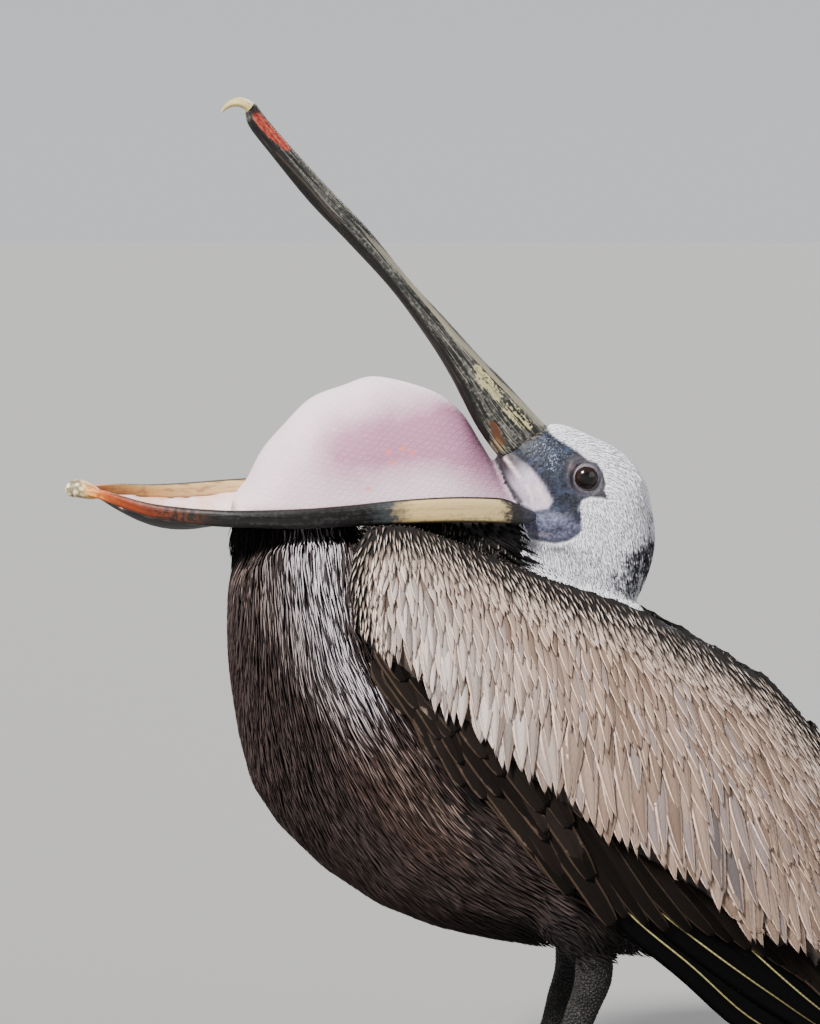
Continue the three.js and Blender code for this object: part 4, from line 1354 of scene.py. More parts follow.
def scattered(allowed, spacing, stretch, lie, head=False):
    """Random roots on the allowed faces, spacing apart, or stretch times that along the lie."""
    a, b, c = (skin_points[skin_faces[allowed][:, i]] for i in range(3))
    size = np.linalg.norm(np.cross(b - a, c - a), axis=1) / 2
    tries = int(size.sum() / (spacing ** 2 * stretch) * TRIES)
    pick = rng.choice(len(size), tries, p=size / size.sum())
    u, v = rng.random((2, tries, 1))
    u, v = np.where(u + v > 1, 1 - u, u), np.where(u + v > 1, 1 - v, v)
    points = a[pick] + u * (b[pick] - a[pick]) + v * (c[pick] - a[pick])
    normals = face_normals[allowed][pick]
    way = lie_on(points, normals, lie, head)
    ease_off = 1 - 1 / stretch ** 2
    taken, kept = {}, []
    for number, (place, heading) in enumerate(zip((points / spacing).tolist(), way.tolist())):
        cell = tuple(int(part // stretch) for part in place)
        if not crowded(taken, cell, place, heading, ease_off):
            taken.setdefault(cell, []).append(place)
            kept.append(number)
    return points[kept], normals[kept]


# %% Feathers laid over the skin
SKIN_LEFT, SHARP_TURN, UNDERSIDE, RISE_CURVE = 0.003, 0.55, -0.35, 0.8


def laid(roots, normals, lie, lengths, stations, low, high, wander, head=False):
    """Middle lines of feathers over the skin, and the way up at each of their points."""
    p, n = roots.copy(), normals.copy()
    stray = rng.normal(0, wander, (len(p), 3))
    lines, ups = [], []
    step = (lengths / (stations - 1))[:, None]
    for s in range(stations):
        height = low + (high - low) * (s / (stations - 1)) ** RISE_CURVE
        lines.append(p + n * np.reshape(height, (-1, 1)))
        ups.append(n.copy())
        ahead = p + lie_on(p, n, lie, head, stray) * step
        found = [skin_tree.find_nearest(q) for q in ahead.tolist()]
        place = np.array([f[0] for f in found])
        up = face_normals[[f[2] for f in found]]
        far = (np.linalg.norm(place - ahead, axis=1) > SKIN_LEFT) | ((up * n).sum(1) < SHARP_TURN)
        far |= (up[:, 2] < UNDERSIDE) & (lie is WING_LIE)
        far = far[:, None]
        p, n = np.where(far, ahead, place), unit(np.where(far, n, 0.6 * up + 0.4 * n))
    return np.stack(lines, 1), np.stack(ups, 1)


# %% The body of a feather
TUFT = np.array([(-1, 0), (0, 1), (1, 0)], float)
VANE = np.array([(-1, -0.15), (-0.6, 0.2), (0, 0.45), (0.6, 0.2), (1, -0.15), (0, -0.6)], float)
SHORT_VANE = np.array([(-1, -0.1), (0, 0.6), (1, -0.1), (0, -0.5)], float)
PATCH = 0.003


def feathers(name, lines, ups, half, profile, section, thick, unwrap, **per_feather):
    """Closed feathers along their middle lines. Profile is the width at each station, 0 at the tip. Half widths
    and what each feather keeps may be one number for all."""
    count, stations = lines.shape[:2]
    rings, sides = stations - 1, len(section)
    tangent = np.gradient(lines, axis=1)
    side = unit(np.cross(tangent, ups), 1e-9)
    width = np.broadcast_to(half, count)[:, None] * np.asarray(profile)[None, :-1]
    rise = np.reshape(thick, (-1, 1)) * (0.35 + 0.65 * np.asarray(profile)[None, :-1])
    across, up = section.T
    body = (lines[:, :-1, None] + side[:, :-1, None] * (across * width[..., None])[..., None]
            + ups[:, :-1, None] * (up * rise[..., None])[..., None])
    points = np.concatenate([body.reshape(count, -1, 3), lines[:, -1:]], 1)
    k = np.arange(sides)
    after = (k + 1) % sides
    own = [np.stack([[0] * (sides - 2), k[1:-1] + 1, k[1:-1]], 1)]
    for r in range(rings - 1):
        a = r * sides
        own += [np.stack([a + k, a + after, a + k + sides], 1),
                np.stack([a + after, a + after + sides, a + k + sides], 1)]
    last = (rings - 1) * sides
    own.append(np.stack([last + k, last + after, np.full(sides, rings * sides)], 1))
    own = np.concatenate(own)[:, ::-1]
    size = rings * sides + 1
    faces = (own[None] + (np.arange(count) * size)[:, None, None]).reshape(-1, 3)
    marks = {key: np.repeat(np.broadcast_to(values, count), size) for key, values in per_feather.items()}
    mesh = mesh_of(name, points.reshape(-1, 3), faces, **marks)
    across_at = np.append(np.tile(across, rings), 0)
    along_at = np.append(np.repeat(np.arange(rings) / rings, sides), 1)
    add_map(mesh, "vane", np.tile(np.stack([across_at / 2 + 0.5, along_at], 1), (count, 1)))
    patch = np.stack([across_at / 2, along_at - 0.5], 1) * PATCH
    add_map(mesh, "OFBake", (unwrap[:, None] + patch[None]).reshape(-1, 2))
    return mesh


# %% Unwrap and widths
def unwrapped(points, start, end):
    """Place on an unwrap of the skin: along the line from start to end, and round it."""
    start, end = np.array(start), np.array(end)
    axis = (end - start) / np.linalg.norm(end - start)
    away = points - start
    along = away @ axis
    along = (along - along.min()) / np.ptp(along)
    above = np.cross(axis, (0, 1, 0))
    angle = np.arctan2(away[:, 1], away @ above) / (2 * math.pi) + 0.5
    return np.stack([angle, along], 1) * 0.98 + 0.01


def vane_map(w):
    """Across the feather from -1 to 1, and along it from root to tip."""
    vane = w.node("ShaderNodeUVMap", {"uv_map": "vane"})
    split = w.node("ShaderNodeSeparateXYZ", None, {0: vane})
    return split * 2 - 1, Wire(w.tree, split.socket.node.outputs[1])


TRUNK_AXIS = ((0.13, 0, 0.36), (-0.22, 0, 0.10))
HEAD_AXIS = (tuple(from_head([(60, 0, 45)])[0]), tuple(from_head([(-15, 0, -60)])[0]))
HAIR_PROFILE = [0.55, 1.0, 0.85, 0.5, 0]
LANCE_PROFILE = [0.5, 0.85, 1.0, 1.0, 0.92, 0.79, 0.62, 0.42, 0.2, 0]
LONG_PROFILE = [0.5, 0.82, 0.97, 1.0, 0.97, 0.9, 0.79, 0.65, 0.49, 0.32, 0.15, 0]
SHORT_PROFILE = [0.5, 0.95, 1.0, 0.75, 0.4, 0]

# %% [markdown]
# ## Breast, belly and thighs
# These parts wear narrow, hair-like feathers of dark brown. Down the side of the breast each has a silvery
# middle, and together they read as long streaks that fan out towards the wing. One tuft is a three-sided spike.

# %% Breast, belly and thighs
STREAKED = [(240, 552), (272, 532), (305, 520), (346, 522), (346, 560), (343, 600), (352, 640), (372, 680),
            (400, 728), (440, 780), (484, 826), (450, 830), (392, 796), (334, 728), (292, 660), (256, 600)]
SILVERED = [(312, 530), (326, 580), (342, 630), (358, 668)]
WARM = [(322, 680), (380, 700), (440, 790), (450, 850), (400, 850), (340, 770)]
# Outlines of painted shadow: feathers under the throat and under the jaw are darkened nearly to black, where
# the pouch and jaw throw shade.
UNDER_THROAT = [(215, 500), (300, 500), (296, 521), (276, 527), (256, 535), (240, 545), (226, 562), (215, 562)]
UNDER_JAW = [(392, 500), (540, 500), (540, 572), (512, 564), (478, 549), (440, 534), (410, 524), (392, 520)]
LEG_TOP = [(545, 948), (616, 952)]
BODY_KINDS = ["trunk", "neck_base", "thigh"]
# Spacing, length and half width of the feathers, in metres.
BREAST_SIZES = (0.00145, 0.031, 0.00075)
BELLY_SIZES = (0.0019, 0.028, 0.00095)
NECK_SIZES = (0.0026, 0.018, 0.0012)


def random_tone(count):
    """How pale each feather is, from 0 to 1."""
    return rng.random(count)


def body_coat(name, allowed, spacing, length, half):
    """Hair-like feathers, shorter under the bill and at the top of the legs."""
    roots, normals = scattered(allowed, spacing, 3.4, BODY_LIE)
    count = len(roots)
    lengths = length * rng.uniform(0.75, 1.2, count)
    places = flank(roots)
    lengths *= 0.45 + 0.55 * ease((places[:, 1] - 520) / 24)
    lengths *= 0.3 + 0.7 * ease((distance_to_line(places, LEG_TOP) - 8) / 50)
    lines, ups = laid(roots, normals, BODY_LIE, lengths, 5, -0.0004, 0.0044, wander=0.06)
    return feathers(name, lines, ups, half * rng.uniform(0.8, 1.25, count), HAIR_PROFILE, TUFT, 0.0006,
                    unwrapped(roots, *TRUNK_AXIS), tone=random_tone(count),
                    streak=area(places, STREAKED, 26), silver=line_mark(places, SILVERED, 40),
                    warm=area(places, WARM, 25),
                    dark=np.maximum(ease((places[:, 0] - 540) / 60), ease((places[:, 1] - 880) / 60)),
                    shade=np.maximum(area(places, UNDER_THROAT, 4), area(places, UNDER_JAW, 4)))


# %% Finish of breast and belly
def body_nodes(w):
    across, along = vane_map(w)
    middle = 1 - w.sum("ABSOLUTE", across)
    tone, streak, silver = w.mark("tone"), w.mark("streak"), w.mark("silver")
    brown = w.mix(tone, (52, 41, 40), (100, 84, 82))
    faint = middle.step(0.3, 0.9) * along.step(0.1, 0.8) * (0.15 + 0.4 * tone)
    brown = w.coats(
        brown, (w.mark("warm") * 0.7, w.mix(tone, (74, 54, 44), (132, 108, 94))), (faint, (140, 124, 120)),
        (streak * silver * 0.75, (112, 104, 104)), (w.mark("dark") * 0.85, (24, 19, 18)))
    pale = w.mix(silver, (176, 160, 150), (214, 211, 214))
    share = (streak * (0.5 + 0.27 * silver) + (tone - 0.5) * 0.9).step(0.42, 0.6) * middle.step(0.2, 0.55)
    colour = w.mix(share * (0.58 + 0.36 * silver), brown, pale)
    colour = w.mix(w.mark("shade") * 0.96, colour, (10, 8, 8))
    return colour, 0.6 + 0.2 * tone


body_finish = finish("breast_feather", body_nodes, Specular_IOR_Level=0.15)
on_body = np.isin(face_kind, BODY_KINDS)
left_side = face_middles[:, 1] > 0
front = face_middles[:, 0] > 0.03
for part, chosen in (("breast_left", left_side & front), ("breast_right", ~left_side & front),
                     ("belly_left", left_side & ~front), ("belly_right", ~left_side & ~front)):
    sizes = BREAST_SIZES if "breast" in part else BELLY_SIZES
    piece(part, body_coat(part, on_body & chosen, *sizes), body_finish, "dark_feather")

# %% [markdown]
# ## Head and nape
# The head's feathers are short and dense as velvet, white on the crown and cheeks and mottled grey-black at
# the nape. They end in a clean line at the bare face. The tufts are the same spikes, a third as long.

# %% Head and nape
def head_coat(name, allowed):
    """Down that is shortest beside the bare face."""
    roots, normals = scattered(allowed, 0.00088, 2.3, HEAD_LIE, True)
    count = len(roots)
    places = flank(roots, head=True)
    to_face = distance_to_line(places, FACE, closed=True) * SQUARE
    lengths = np.clip(0.0020 + to_face * 0.5, 0.0020, 0.0075) * rng.uniform(0.8, 1.2, count)
    lines, ups = laid(roots, normals, HEAD_LIE, lengths, 4, -0.0003, 0.0017, head=True, wander=0.16)
    return feathers(name, lines, ups, 0.00042 * rng.uniform(0.8, 1.3, count), [0.7, 1.0, 0.7, 0], TUFT, 0.0004,
                    unwrapped(roots, *HEAD_AXIS), tone=random_tone(count), nape=nape_and_head_shade(places),
                    # painted shade in grey along the crease below the cheek
                    crease=line_mark(places, [(552, 550), (575, 556), (596, 554)], 3.5),
                    shade=line_mark(places, [(522, 541), (545, 548), (570, 545)], 4))


# %% Finish of the head
def head_nodes(w):
    tone = w.mark("tone")
    patch, hair = w.grain(90, 4), w.grain(420, 3)
    # the nape mark darkens the down: the real dark patch and mottling, and painted shade up the back of the
    # head
    patchy = w.mark("nape") * 1.08 + (patch - 0.5) * 1.5 + (hair - 0.5) * 1.1 + (tone - 0.5) * 0.6
    patchy = patchy.step(0.38, 1.0) * w.mark("nape").step(0.08, 0.3)
    white = w.mix(tone, (240, 240, 243), (251, 251, 252))
    # the crease and shade marks lay painted shade on the white down
    white = w.coats(
        white, (hair.step(0.62, 0.74) * 0.22, (168, 170, 178)), (w.mark("crease") * 0.45, (134, 134, 140)),
        (w.mark("shade") * 0.6, (84, 82, 88)))
    dark = w.mix(tone, (26, 26, 33), (92, 94, 106))
    return w.mix(patchy, white, dark), 0.75 + 0.15 * tone


head_finish = finish("head_down", head_nodes, Specular_IOR_Level=0.2)
face_places = flank(face_middles, head=True)
white_neck = (face_kind == "neck_upper") & (side_view(face_middles)[:, 0] > 520)
on_feathered_head = ((face_kind == "head") & (area(face_places, FACE, 0.5) < 0.5)) | white_neck
for part, chosen in (("head_down_left", left_side), ("head_down_right", ~left_side)):
    piece(part, head_coat(part, on_feathered_head & chosen), head_finish, "white_feather")
hidden_neck = (face_kind == "neck_upper") & ~white_neck
piece("neck_feathers", body_coat("neck_feathers", hidden_neck, *NECK_SIZES), body_finish, "dark_feather")

# %% [markdown]
# ## Coverts of the wing and back
# Small dark feathers with pale middles edge the back and the bend of the wing. Further down the side they grow
# longer and turn into silver-beige lances with whitish edges, whose tips hang free along the lower rim.
# Distance from the ridge sets the size, so three sets of roots with wider and wider spacing cover the wing.

# %% Coverts
WHITE_SHOULDER = [(385, 560), (400, 600), (440, 660), (500, 720)]
BLUE_SPOTS = [([(712, 806), (726, 844)], 13), ([(386, 628), (390, 646)], 10)]
LAST_COLUMN, SHADE_ROW = 888, 516


def covert_coat(name, side, zone, spacing, stretch, stations, profile, section):
    """One set of coverts. Zone is the range of distance from the ridge, in squares."""
    allowed = (face_kind == "wing") | ((face_kind == "trunk") & (face_normals[:, 2] > 0.35)
                                       & (face_middles[:, 0] < 0.05))
    allowed |= (face_kind == "neck_upper") & (distance_to_line(side_view(face_middles), RIDGE) < 9)
    allowed &= (face_middles[:, 1] > 0) == (side > 0)
    near_ridge = distance_to_line(flank(face_middles), RIDGE)
    allowed &= (near_ridge > zone[0] - 8) & (near_ridge < zone[1] + 8)
    roots, normals = scattered(allowed, spacing, stretch, WING_LIE)
    places = flank(roots)
    ridge = distance_to_line(places, RIDGE)
    keep = (ridge >= zone[0]) & (ridge < zone[1])
    keep &= (below_tips(places) * SQUARE < -0.009 - 0.009 * ease(ridge / 120)) & (places[:, 0] < LAST_COLUMN)
    roots, normals, places, ridge = roots[keep], normals[keep], places[keep], ridge[keep]
    count = len(roots)
    # Feathers grow longer, wider and thicker away from the ridge. All sizes are in metres.
    size, off_ridge = ease(ridge / 175), ease(ridge / 34)
    room = -below_tips(places) * SQUARE * 1.02
    full = (0.0085 + 0.006 * off_ridge + 0.050 * size) * rng.uniform(0.85, 1.15, count)
    full *= 0.45 + 0.55 * ease((normals[:, 1] * side + 0.2) / 0.5)
    lengths = np.minimum(full, np.maximum(room + rng.uniform(-0.001, 0.011, count), 0.006))
    low = np.full(count, -0.0002)
    high = 0.0006 + 0.0014 * off_ridge + 0.0008 * size + 0.0024 * (1 - ease((room - full) / 0.02))
    lines, ups = laid(roots, normals, WING_LIE, lengths, stations, low, high, wander=0.055)
    half = (0.0014 + 0.0006 * off_ridge + 0.0042 * size) * rng.uniform(0.85, 1.2, count)
    # painted shade: coverts at the very ridge and those facing up over it are darkened to near black, like the
    # shadow between wing and neck
    crest = np.maximum(1 - ease((ridge - 3) / 13), 1 - ease((np.abs(normals[:, 1]) - 0.15) / 0.3))
    return feathers(name, lines, ups, half, profile, section, 0.00045 + 0.0001 * size,
                    unwrapped(roots, *TRUNK_AXIS), tone=random_tone(count),
                    rim=1 - ease((ridge - 15) / 44), crest=crest,
                    shade=area(places, UNDER_JAW, 3) * (places[:, 1] < SHADE_ROW),
                    white=line_mark(places, WHITE_SHOULDER, 52),
                    blue=sum(line_mark(places, line, width) for line, width in BLUE_SPOTS))


# %% Finish of the coverts
def covert_nodes(w):
    across, along = vane_map(w)
    edge = w.sum("ABSOLUTE", across)
    tone, rim = w.mark("tone"), w.mark("rim")
    barb = w.sum("SINE", (along * 60 - edge * 9)) * 0.5 + 0.5
    beige = w.mix(tone, (152, 134, 121), (190, 176, 163))
    beige = w.coats(
        beige, (w.mark("white") * 0.75, w.mix(tone, (166, 161, 159), (214, 210, 208))),
        (tone.step(0.8, 0.86) * (1 - w.mark("white")) * 0.55, (140, 140, 148)),
        (w.mark("blue").step(0.1, 0.5) * 0.9, (124, 119, 124)))
    middle = w.mix(rim, beige, w.mix(tone, (166, 150, 140), (224, 216, 210)))
    outer = w.mix(rim, (228, 219, 211), (18, 14, 13))
    margin = (edge + 0.42 * rim + along * 0.12 + (tone - 0.5) * 0.12).step(0.7, 0.88)
    inner_edge = edge.step(0.2, 0.6) * (1 - rim)
    colour = w.mix(inner_edge * 0.45, middle, (126, 108, 98))
    root = (1 - along.step(0.12, 0.6)) * rim
    colour = w.coats(
        colour, (margin * (0.72 + 0.28 * rim), outer), (root * 0.95, (22, 18, 17)),
        # painted shade along the ridge, then painted shadow under the jaw
        (w.mark("crest") * 0.8, (13, 10, 10)), (barb * 0.05, (124, 110, 102)),
        (w.mark("shade") * 0.9, (14, 11, 11)))
    return colour, 0.55 + 0.2 * tone, barb, 0.00008


covert_finish = finish("covert_feather", covert_nodes, Specular_IOR_Level=0.2)
for name, side in SIDES:
    for part, zone, spacing, stretch, stations, profile, section in (
            ("edge", (-1, 40), 0.0022, 2.4, 6, SHORT_PROFILE, SHORT_VANE),
            ("middle", (30, 100), 0.0030, 3.6, 10, LANCE_PROFILE, VANE),
            ("long", (82, 999), 0.0048, 3.7, 12, LONG_PROFILE, VANE)):
        label = f"coverts_{part}_{name}"
        coat = covert_coat(label, side, zone, spacing, stretch, stations, profile, section)
        piece(label, coat, covert_finish, "pale_feather")

# %% [markdown]
# ## Flight feathers
# Below the pale coverts the folded wing shows its dark quills. They lie on one another like a closed fan, on
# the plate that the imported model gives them, so each is placed by two shares of that plate: one from the
# bend of the wing to its tip, one from the upper to the lower edge. The bend has short mottled feathers,
# then come the long secondaries, and the black primaries reach the tip with straw-yellow shafts.

# %% The plate of the folded quills
PLATE = [[178, 367, 174, 336, 90, 92, 2], [144, 335, 160, 293, 96, 98, 3], [105, 295, 136, 268, 98, 100, 3],
         [56, 262, 105, 228, 96, 99, 3], [0, 215, 49, 171, 90, 92, 3], [-49, 175, -8, 115, 80, 82, 3],
         [-98, 135, -56, 81, 66, 68, 2], [-140, 98, -98, 48, 50, 53, 2], [-172, 62, -142, 28, 42, 45, 1],
         [-192, 36, -176, 21, 38, 40, 0.5]]
PLATE_ROWS = smooth_rows(PLATE, 500)


def on_plate(t, v, side, lift):
    """Points on the folded wing: t from bend to tip, v from upper to lower edge, lift in millimetres."""
    t, v = np.broadcast_arrays(np.asarray(t, float), np.asarray(v, float))
    at = np.clip(t, 0, 1) * (len(PLATE_ROWS) - 1)
    ux, uz, lx, lz, uy, ly, bulge = (np.interp(at, np.arange(len(PLATE_ROWS)), column)
                                     for column in PLATE_ROWS.T)
    beyond = np.minimum(t, 0) * 480
    y = uy + (ly - uy) * v + bulge * 4 * v * (1 - v) + lift
    points = np.stack([ux + (lx - ux) * v - beyond * 0.75, side * y, uz + (lz - uz) * v - beyond * 0.66], -1)
    return from_table(points.reshape(-1, 3)).reshape(points.shape)


QUILL = np.array([(-1, -0.25), (-0.7, 0.1), (-0.35, 0.3), (-0.07, 0.4), (0, 1.0), (0.07, 0.4), (0.35, 0.3),
                  (0.7, 0.1), (1, -0.25), (0.5, -0.3), (0, -0.5), (-0.5, -0.3)], float)


def blade_profile(stations, tip):
    """Width of a long feather: soon full, then rounded off from the share tip of its length to the end."""
    s = np.linspace(0, 1, stations)
    rounding = np.maximum(1 - (np.maximum(s - tip, 0) / (1 - tip)) ** 2.4, 0)
    return np.minimum(0.35 + 3 * s, 1) * np.sqrt(rounding)


def plate_feathers(name, side, paths, half, stations, thick, tip, **per_feather):
    """Feathers along smooth curves through (t, v, lift) on the plate."""
    lines = []
    for path in paths:
        t, v, lift = smooth_rows(path, stations).T
        lines.append(on_plate(t, v, side, lift))
    lines = np.array(lines)
    ups = np.zeros_like(lines)
    ups[..., 1] = side
    slope = unit(np.gradient(lines, axis=1))
    ups = unit(ups - slope * (ups * slope).sum(2, keepdims=True))
    return feathers(name, lines, ups, half, blade_profile(stations, tip), QUILL, thick,
                    unwrapped(lines[:, 0], *TRUNK_AXIS), **per_feather)


# %% Finish of the quills
def quill_nodes(w):
    across, along = vane_map(w)
    edge = w.sum("ABSOLUTE", across)
    tone, shaft_pale, mottle = w.mark("tone"), w.mark("shaft_pale"), w.mark("mottle")
    barb = w.sum("SINE", along * 420 - edge * 60) * 0.5 + 0.5
    blotch = w.grain(150, 4)
    colour = w.mix(tone, (13, 10, 9), (42, 34, 29))
    rim = edge.step(0.72, 0.93)
    pale_end = (edge * 0.6 + along * 0.45 + mottle * 0.35 + (blotch - 0.5) * 0.9).step(0.98, 1.22)
    shaft = 1 - edge.step(0.02, 0.055)
    bone = w.mix(along.step(0.45, 0.9), (196, 190, 150), (112, 100, 72))
    colour = w.coats(
        colour, (mottle * 0.6, w.mix(tone, (44, 34, 30), (90, 76, 68))), (shaft_pale, (5, 4, 4)),
        (barb * 0.2 * (1 - shaft_pale), (66, 54, 48)), (rim * 0.85 * (1 - shaft_pale), (150, 134, 120)),
        (pale_end * mottle.step(0.1, 0.35) * 0.8, w.mix(tone, (134, 114, 101), (190, 178, 168))),
        (shaft * 0.3 * (1 - shaft_pale), (62, 51, 44)), (shaft * shaft_pale, bone))
    return colour, 0.5 + 0.16 * tone, barb, 0.00025


quill_finish = finish("dark_quill", quill_nodes, Specular_IOR_Level=0.07)

# %% Secondaries and primaries
# Each primary is a path of shares along and across the plate.
PRIMARIES = [[(0.28, 0.50), (0.46, 0.70), (0.62, 0.83), (0.82, 0.94), (0.94, 0.97)],
             [(0.34, 0.34), (0.52, 0.54), (0.655, 0.62), (0.80, 0.58), (0.97, 0.62)],
             [(0.42, 0.18), (0.60, 0.30), (0.75, 0.36), (0.87, 0.38), (0.99, 0.34)],
             [(0.50, 0.06), (0.66, 0.12), (0.80, 0.16), (0.92, 0.14), (1.0, 0.10)]]
TIP_LEVEL = ([0.42, 0.55, 0.62, 0.66, 0.75, 0.85, 1.0], [0.96, 0.88, 0.70, 0.50, 0.28, 0.16, 0.08])
SECONDARIES = 21
for name, side in SIDES:
    first = np.linspace(0.06, 0.64, SECONDARIES)
    reach = np.linspace(0.40, 0.34, SECONDARIES)
    low_end = np.interp(first + reach, *TIP_LEVEL)
    paths = [[(t, 0.04, -1.2 + 0.16 * j), (t + r * 0.36, 0.04 + v * 0.2, -0.6 + 0.18 * j),
              (t + r * 0.7, 0.04 + v * 0.6, -0.2 + 0.19 * j), (min(t + r, 0.99), v, -0.4 + 0.19 * j)]
             for j, (t, r, v) in enumerate(zip(first, reach, low_end))]
    mesh = plate_feathers(f"secondaries_{name}", side, paths, np.interp(first, [0, 0.7], [0.0070, 0.0092]), 26,
                          0.0010, 0.3, tone=random_tone(SECONDARIES), shaft_pale=0, mottle=0)
    piece(f"secondaries_{name}", mesh, quill_finish, "quill_feather", f"flight_feathers_{name}")
    shafts = [[(t, v, -3.4 + 0.45 * j) for t, v in path] for j, path in enumerate(PRIMARIES)]
    mesh = plate_feathers(f"primaries_{name}", side, shafts, 0.0125, 34, 0.0013, 0.55,
                          tone=random_tone(len(PRIMARIES)) * 0.2, shaft_pale=1, mottle=0)
    piece(f"primaries_{name}", mesh, quill_finish, "quill_feather")

# %% Mottled feathers at the bend of the wing
# Each row is its place across the plate, where it starts and ends along it, and how pale its feathers are.
BEND_ROWS = ((0.80, 0.10, 0.44, 0.8), (0.58, 0.085, 0.40, 0.9), (0.36, 0.075, 0.36, 0.35),
             (0.14, 0.065, 0.34, 0.15))
for name, side in SIDES:
    paths, mottle, half = [], [], []
    for row, (v, start, end, pale) in enumerate(BEND_ROWS):
        for t in np.arange(start, end, 0.030) + 0.014 * (row % 2):
            t, v_here = t + rng.uniform(-0.007, 0.007), v + rng.uniform(-0.08, 0.08)
            reach = rng.uniform(0.10, 0.15)
            lift = 1.4 + 0.5 * row + 1.5 * t
            paths.append([(t, v_here - 0.06, lift - 1.8), (t + reach * 0.5, v_here + 0.04, lift),
                          (t + reach, min(v_here + 0.20, 1.03), lift + 0.5)])
            mottle.append(pale * rng.uniform(0.4, 1.0) * np.interp(t, [0.3, 0.45], [1, 0.2]))
            half.append(rng.uniform(0.0060, 0.0085))
    mesh = plate_feathers(f"bend_coverts_{name}", side, paths, half, 12, 0.0007, 0.5,
                          tone=random_tone(len(paths)), shaft_pale=0, mottle=mottle)
    piece(f"bend_coverts_{name}", mesh, quill_finish, "quill_feather")

# %% [markdown]
# ## Tail
# A short square tail of eleven quills, the middle one on top. Each pair further out lies a little lower.

# %% Tail
TAIL_LINE = [[-96, 121], [-118, 100], [-145, 76], [-170, 52], [-192, 30], [-205, 17]]
TAIL_STATIONS, TAIL_PAIRS = 24, 5


def tail_mesh():
    """The quills from the outermost pair to the middle one, fanning out a little towards their tips."""
    lines, share = [], np.linspace(0, 1, TAIL_STATIONS)
    x, z = smooth_rows(TAIL_LINE, TAIL_STATIONS).T
    for j in sorted(range(-TAIL_PAIRS, TAIL_PAIRS + 1), key=lambda j: -abs(j)):
        y = j * (1.8 + 3.7 * share)
        drop = abs(j) * 0.75
        shorter = abs(j) ** 2 * 0.16 * share
        lines.append(from_table(np.stack([x - drop * 0.7 + shorter, y, z - drop * 0.7 + shorter + 1], 1)))
    lines = np.array(lines)
    slope = np.gradient(lines, axis=1)
    ups = np.cross(np.broadcast_to((0.0, 1.0, 0.0), lines.shape), slope)
    ups = unit(ups * np.sign(ups[..., 2:3]))
    return feathers("tail_quills", lines, ups, 0.0088, blade_profile(TAIL_STATIONS, 0.6), QUILL, 0.0011,
                    unwrapped(lines[:, 0], *TRUNK_AXIS), tone=0.4 + 0.6 * random_tone(len(lines)),
                    shaft_pale=0, mottle=0)


piece("tail_quills", tail_mesh(), quill_finish, "quill_feather", "tail")

# %% [markdown]
# ## Scales of the legs
# Shank and toes are armoured with small horny scales that touch but never overlap. Geometry Nodes can spread
# them: points are dealt over the skin with a smallest distance between any two, and a flattened ball is set
# on each point, turned to face outwards. A fixed seed deals the same points each time.

# %% Geometry Nodes for scales
SCALE_DENSITY, SCALE_SEED = 2e6, 7


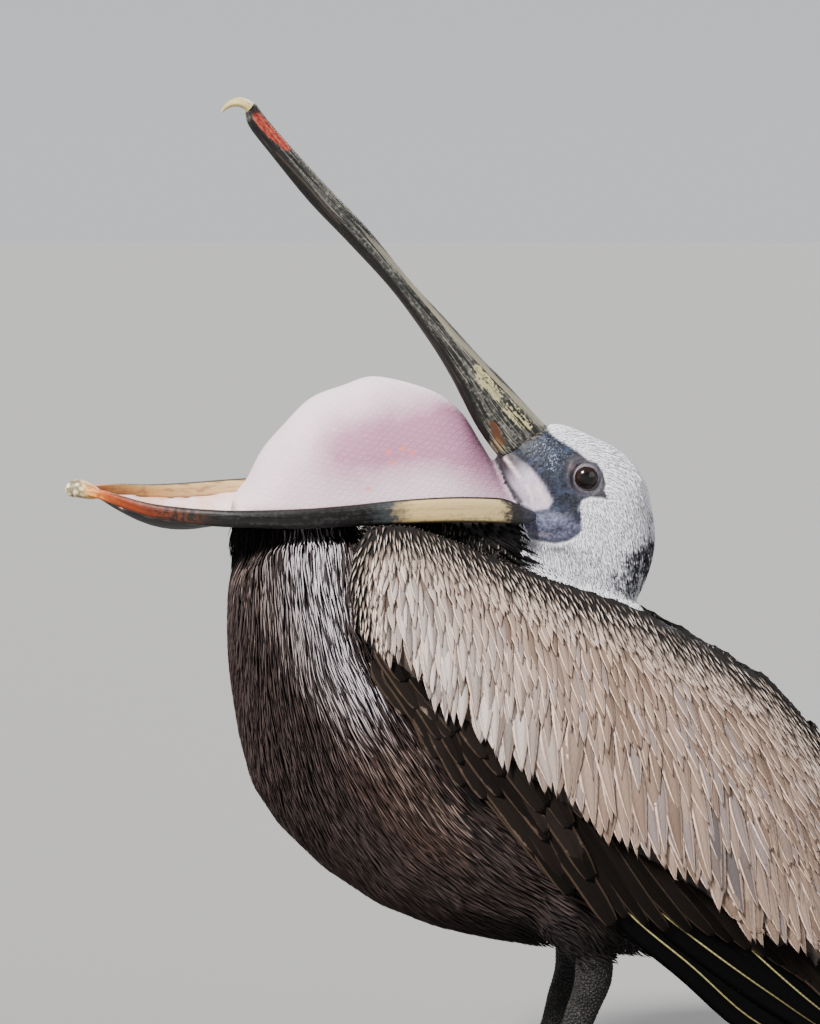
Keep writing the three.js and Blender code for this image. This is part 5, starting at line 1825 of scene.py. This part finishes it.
def scale_tree():
    """Flattened balls of given radius and rise, dealt over a skin with a given gap."""
    tree = bpy.data.node_groups.new("leg_scales", "GeometryNodeTree")
    for label, kind in (("Skin", "Geometry"), ("Gap", "Float"), ("Radius", "Float"), ("Rise", "Float"),
                        ("Finish", "Material")):
        tree.interface.new_socket(label, in_out="INPUT", socket_type=f"NodeSocket{kind}")
    tree.interface.new_socket("Scales", in_out="OUTPUT", socket_type="NodeSocketGeometry")
    begin, end = tree.nodes.new("NodeGroupInput"), tree.nodes.new("NodeGroupOutput")
    spread = tree.nodes.new("GeometryNodeDistributePointsOnFaces")
    spread.distribute_method = "POISSON"
    spread.inputs["Density Max"].default_value = SCALE_DENSITY
    spread.inputs["Seed"].default_value = SCALE_SEED
    ball = tree.nodes.new("GeometryNodeMeshIcoSphere")
    ball.inputs["Radius"].default_value = 1.0
    flat = tree.nodes.new("ShaderNodeCombineXYZ")
    setting = tree.nodes.new("GeometryNodeInstanceOnPoints")
    real = tree.nodes.new("GeometryNodeRealizeInstances")
    paint_on = tree.nodes.new("GeometryNodeSetMaterial")
    for source, out, target, into in (
            (begin, "Skin", spread, "Mesh"), (begin, "Gap", spread, "Distance Min"),
            (begin, "Radius", flat, "X"), (begin, "Radius", flat, "Y"), (begin, "Rise", flat, "Z"),
            (spread, "Points", setting, "Points"), (ball, "Mesh", setting, "Instance"),
            (spread, "Rotation", setting, "Rotation"), (flat, "Vector", setting, "Scale"),
            (setting, "Instances", real, "Geometry"), (real, "Geometry", paint_on, "Geometry"),
            (begin, "Finish", paint_on, "Material"), (paint_on, "Geometry", end, "Scales")):
        tree.links.new(source.outputs[out], target.inputs[into])
    return tree


def scale_nodes(w):
    tone, broad = w.mark("tone"), w.grain(60, 3)
    colour = w.mix(tone, (26, 24, 24), (50, 46, 45))
    colour = w.mix(broad.step(0.48, 0.68) * 0.6, colour, (96, 90, 87))
    return colour, 0.42 + 0.2 * tone


# %% Scales of shank and toes
SCALE_GAP, SCALE_RADIUS, SCALE_RISE, TOE_TOP = 0.0022, 0.00122, 0.00042, 0.0068
SCALE_POINTS = 12
scale_finish = finish("leg_scale", scale_nodes, Specular_IOR_Level=0.25)
scale_group = scale_tree()
for name, (points, faces) in legs.items():
    bare_leg = (nearest_plumage(points[faces].mean(1)) == "leg") & (points[faces][:, :, 2].min(1) > TOE_TOP)
    ob = shown(f"leg_surface_{name}", mesh_of(f"leg_surface_{name}", points, faces[bare_leg]))
    growth = ob.modifiers.new("scales", "NODES")
    growth.node_group = scale_group
    given = {"Gap": SCALE_GAP, "Radius": SCALE_RADIUS, "Rise": SCALE_RISE, "Finish": scale_finish}
    for socket in scale_group.interface.items_tree:
        if socket.in_out == "INPUT" and socket.name in given:
            growth[socket.identifier] = given[socket.name]
    mesh = evaluated(ob)
    mesh.shade_smooth()
    points, _ = arrays_of(mesh)
    blocks = points.reshape(-1, SCALE_POINTS, 3)
    middle = blocks.mean(1)
    patch = (blocks - middle[:, None])[:, :, [0, 2]] / SCALE_RADIUS * PATCH / 2
    add_map(mesh, "OFBake", (unwrapped(middle, (0, 0, 0.12), (0, 0, 0))[:, None] + patch).reshape(-1, 2))
    add_mark(mesh, "tone", np.repeat(random_tone(len(middle)), SCALE_POINTS))
    piece(f"leg_scales_{name}", mesh, None, "leg_skin")
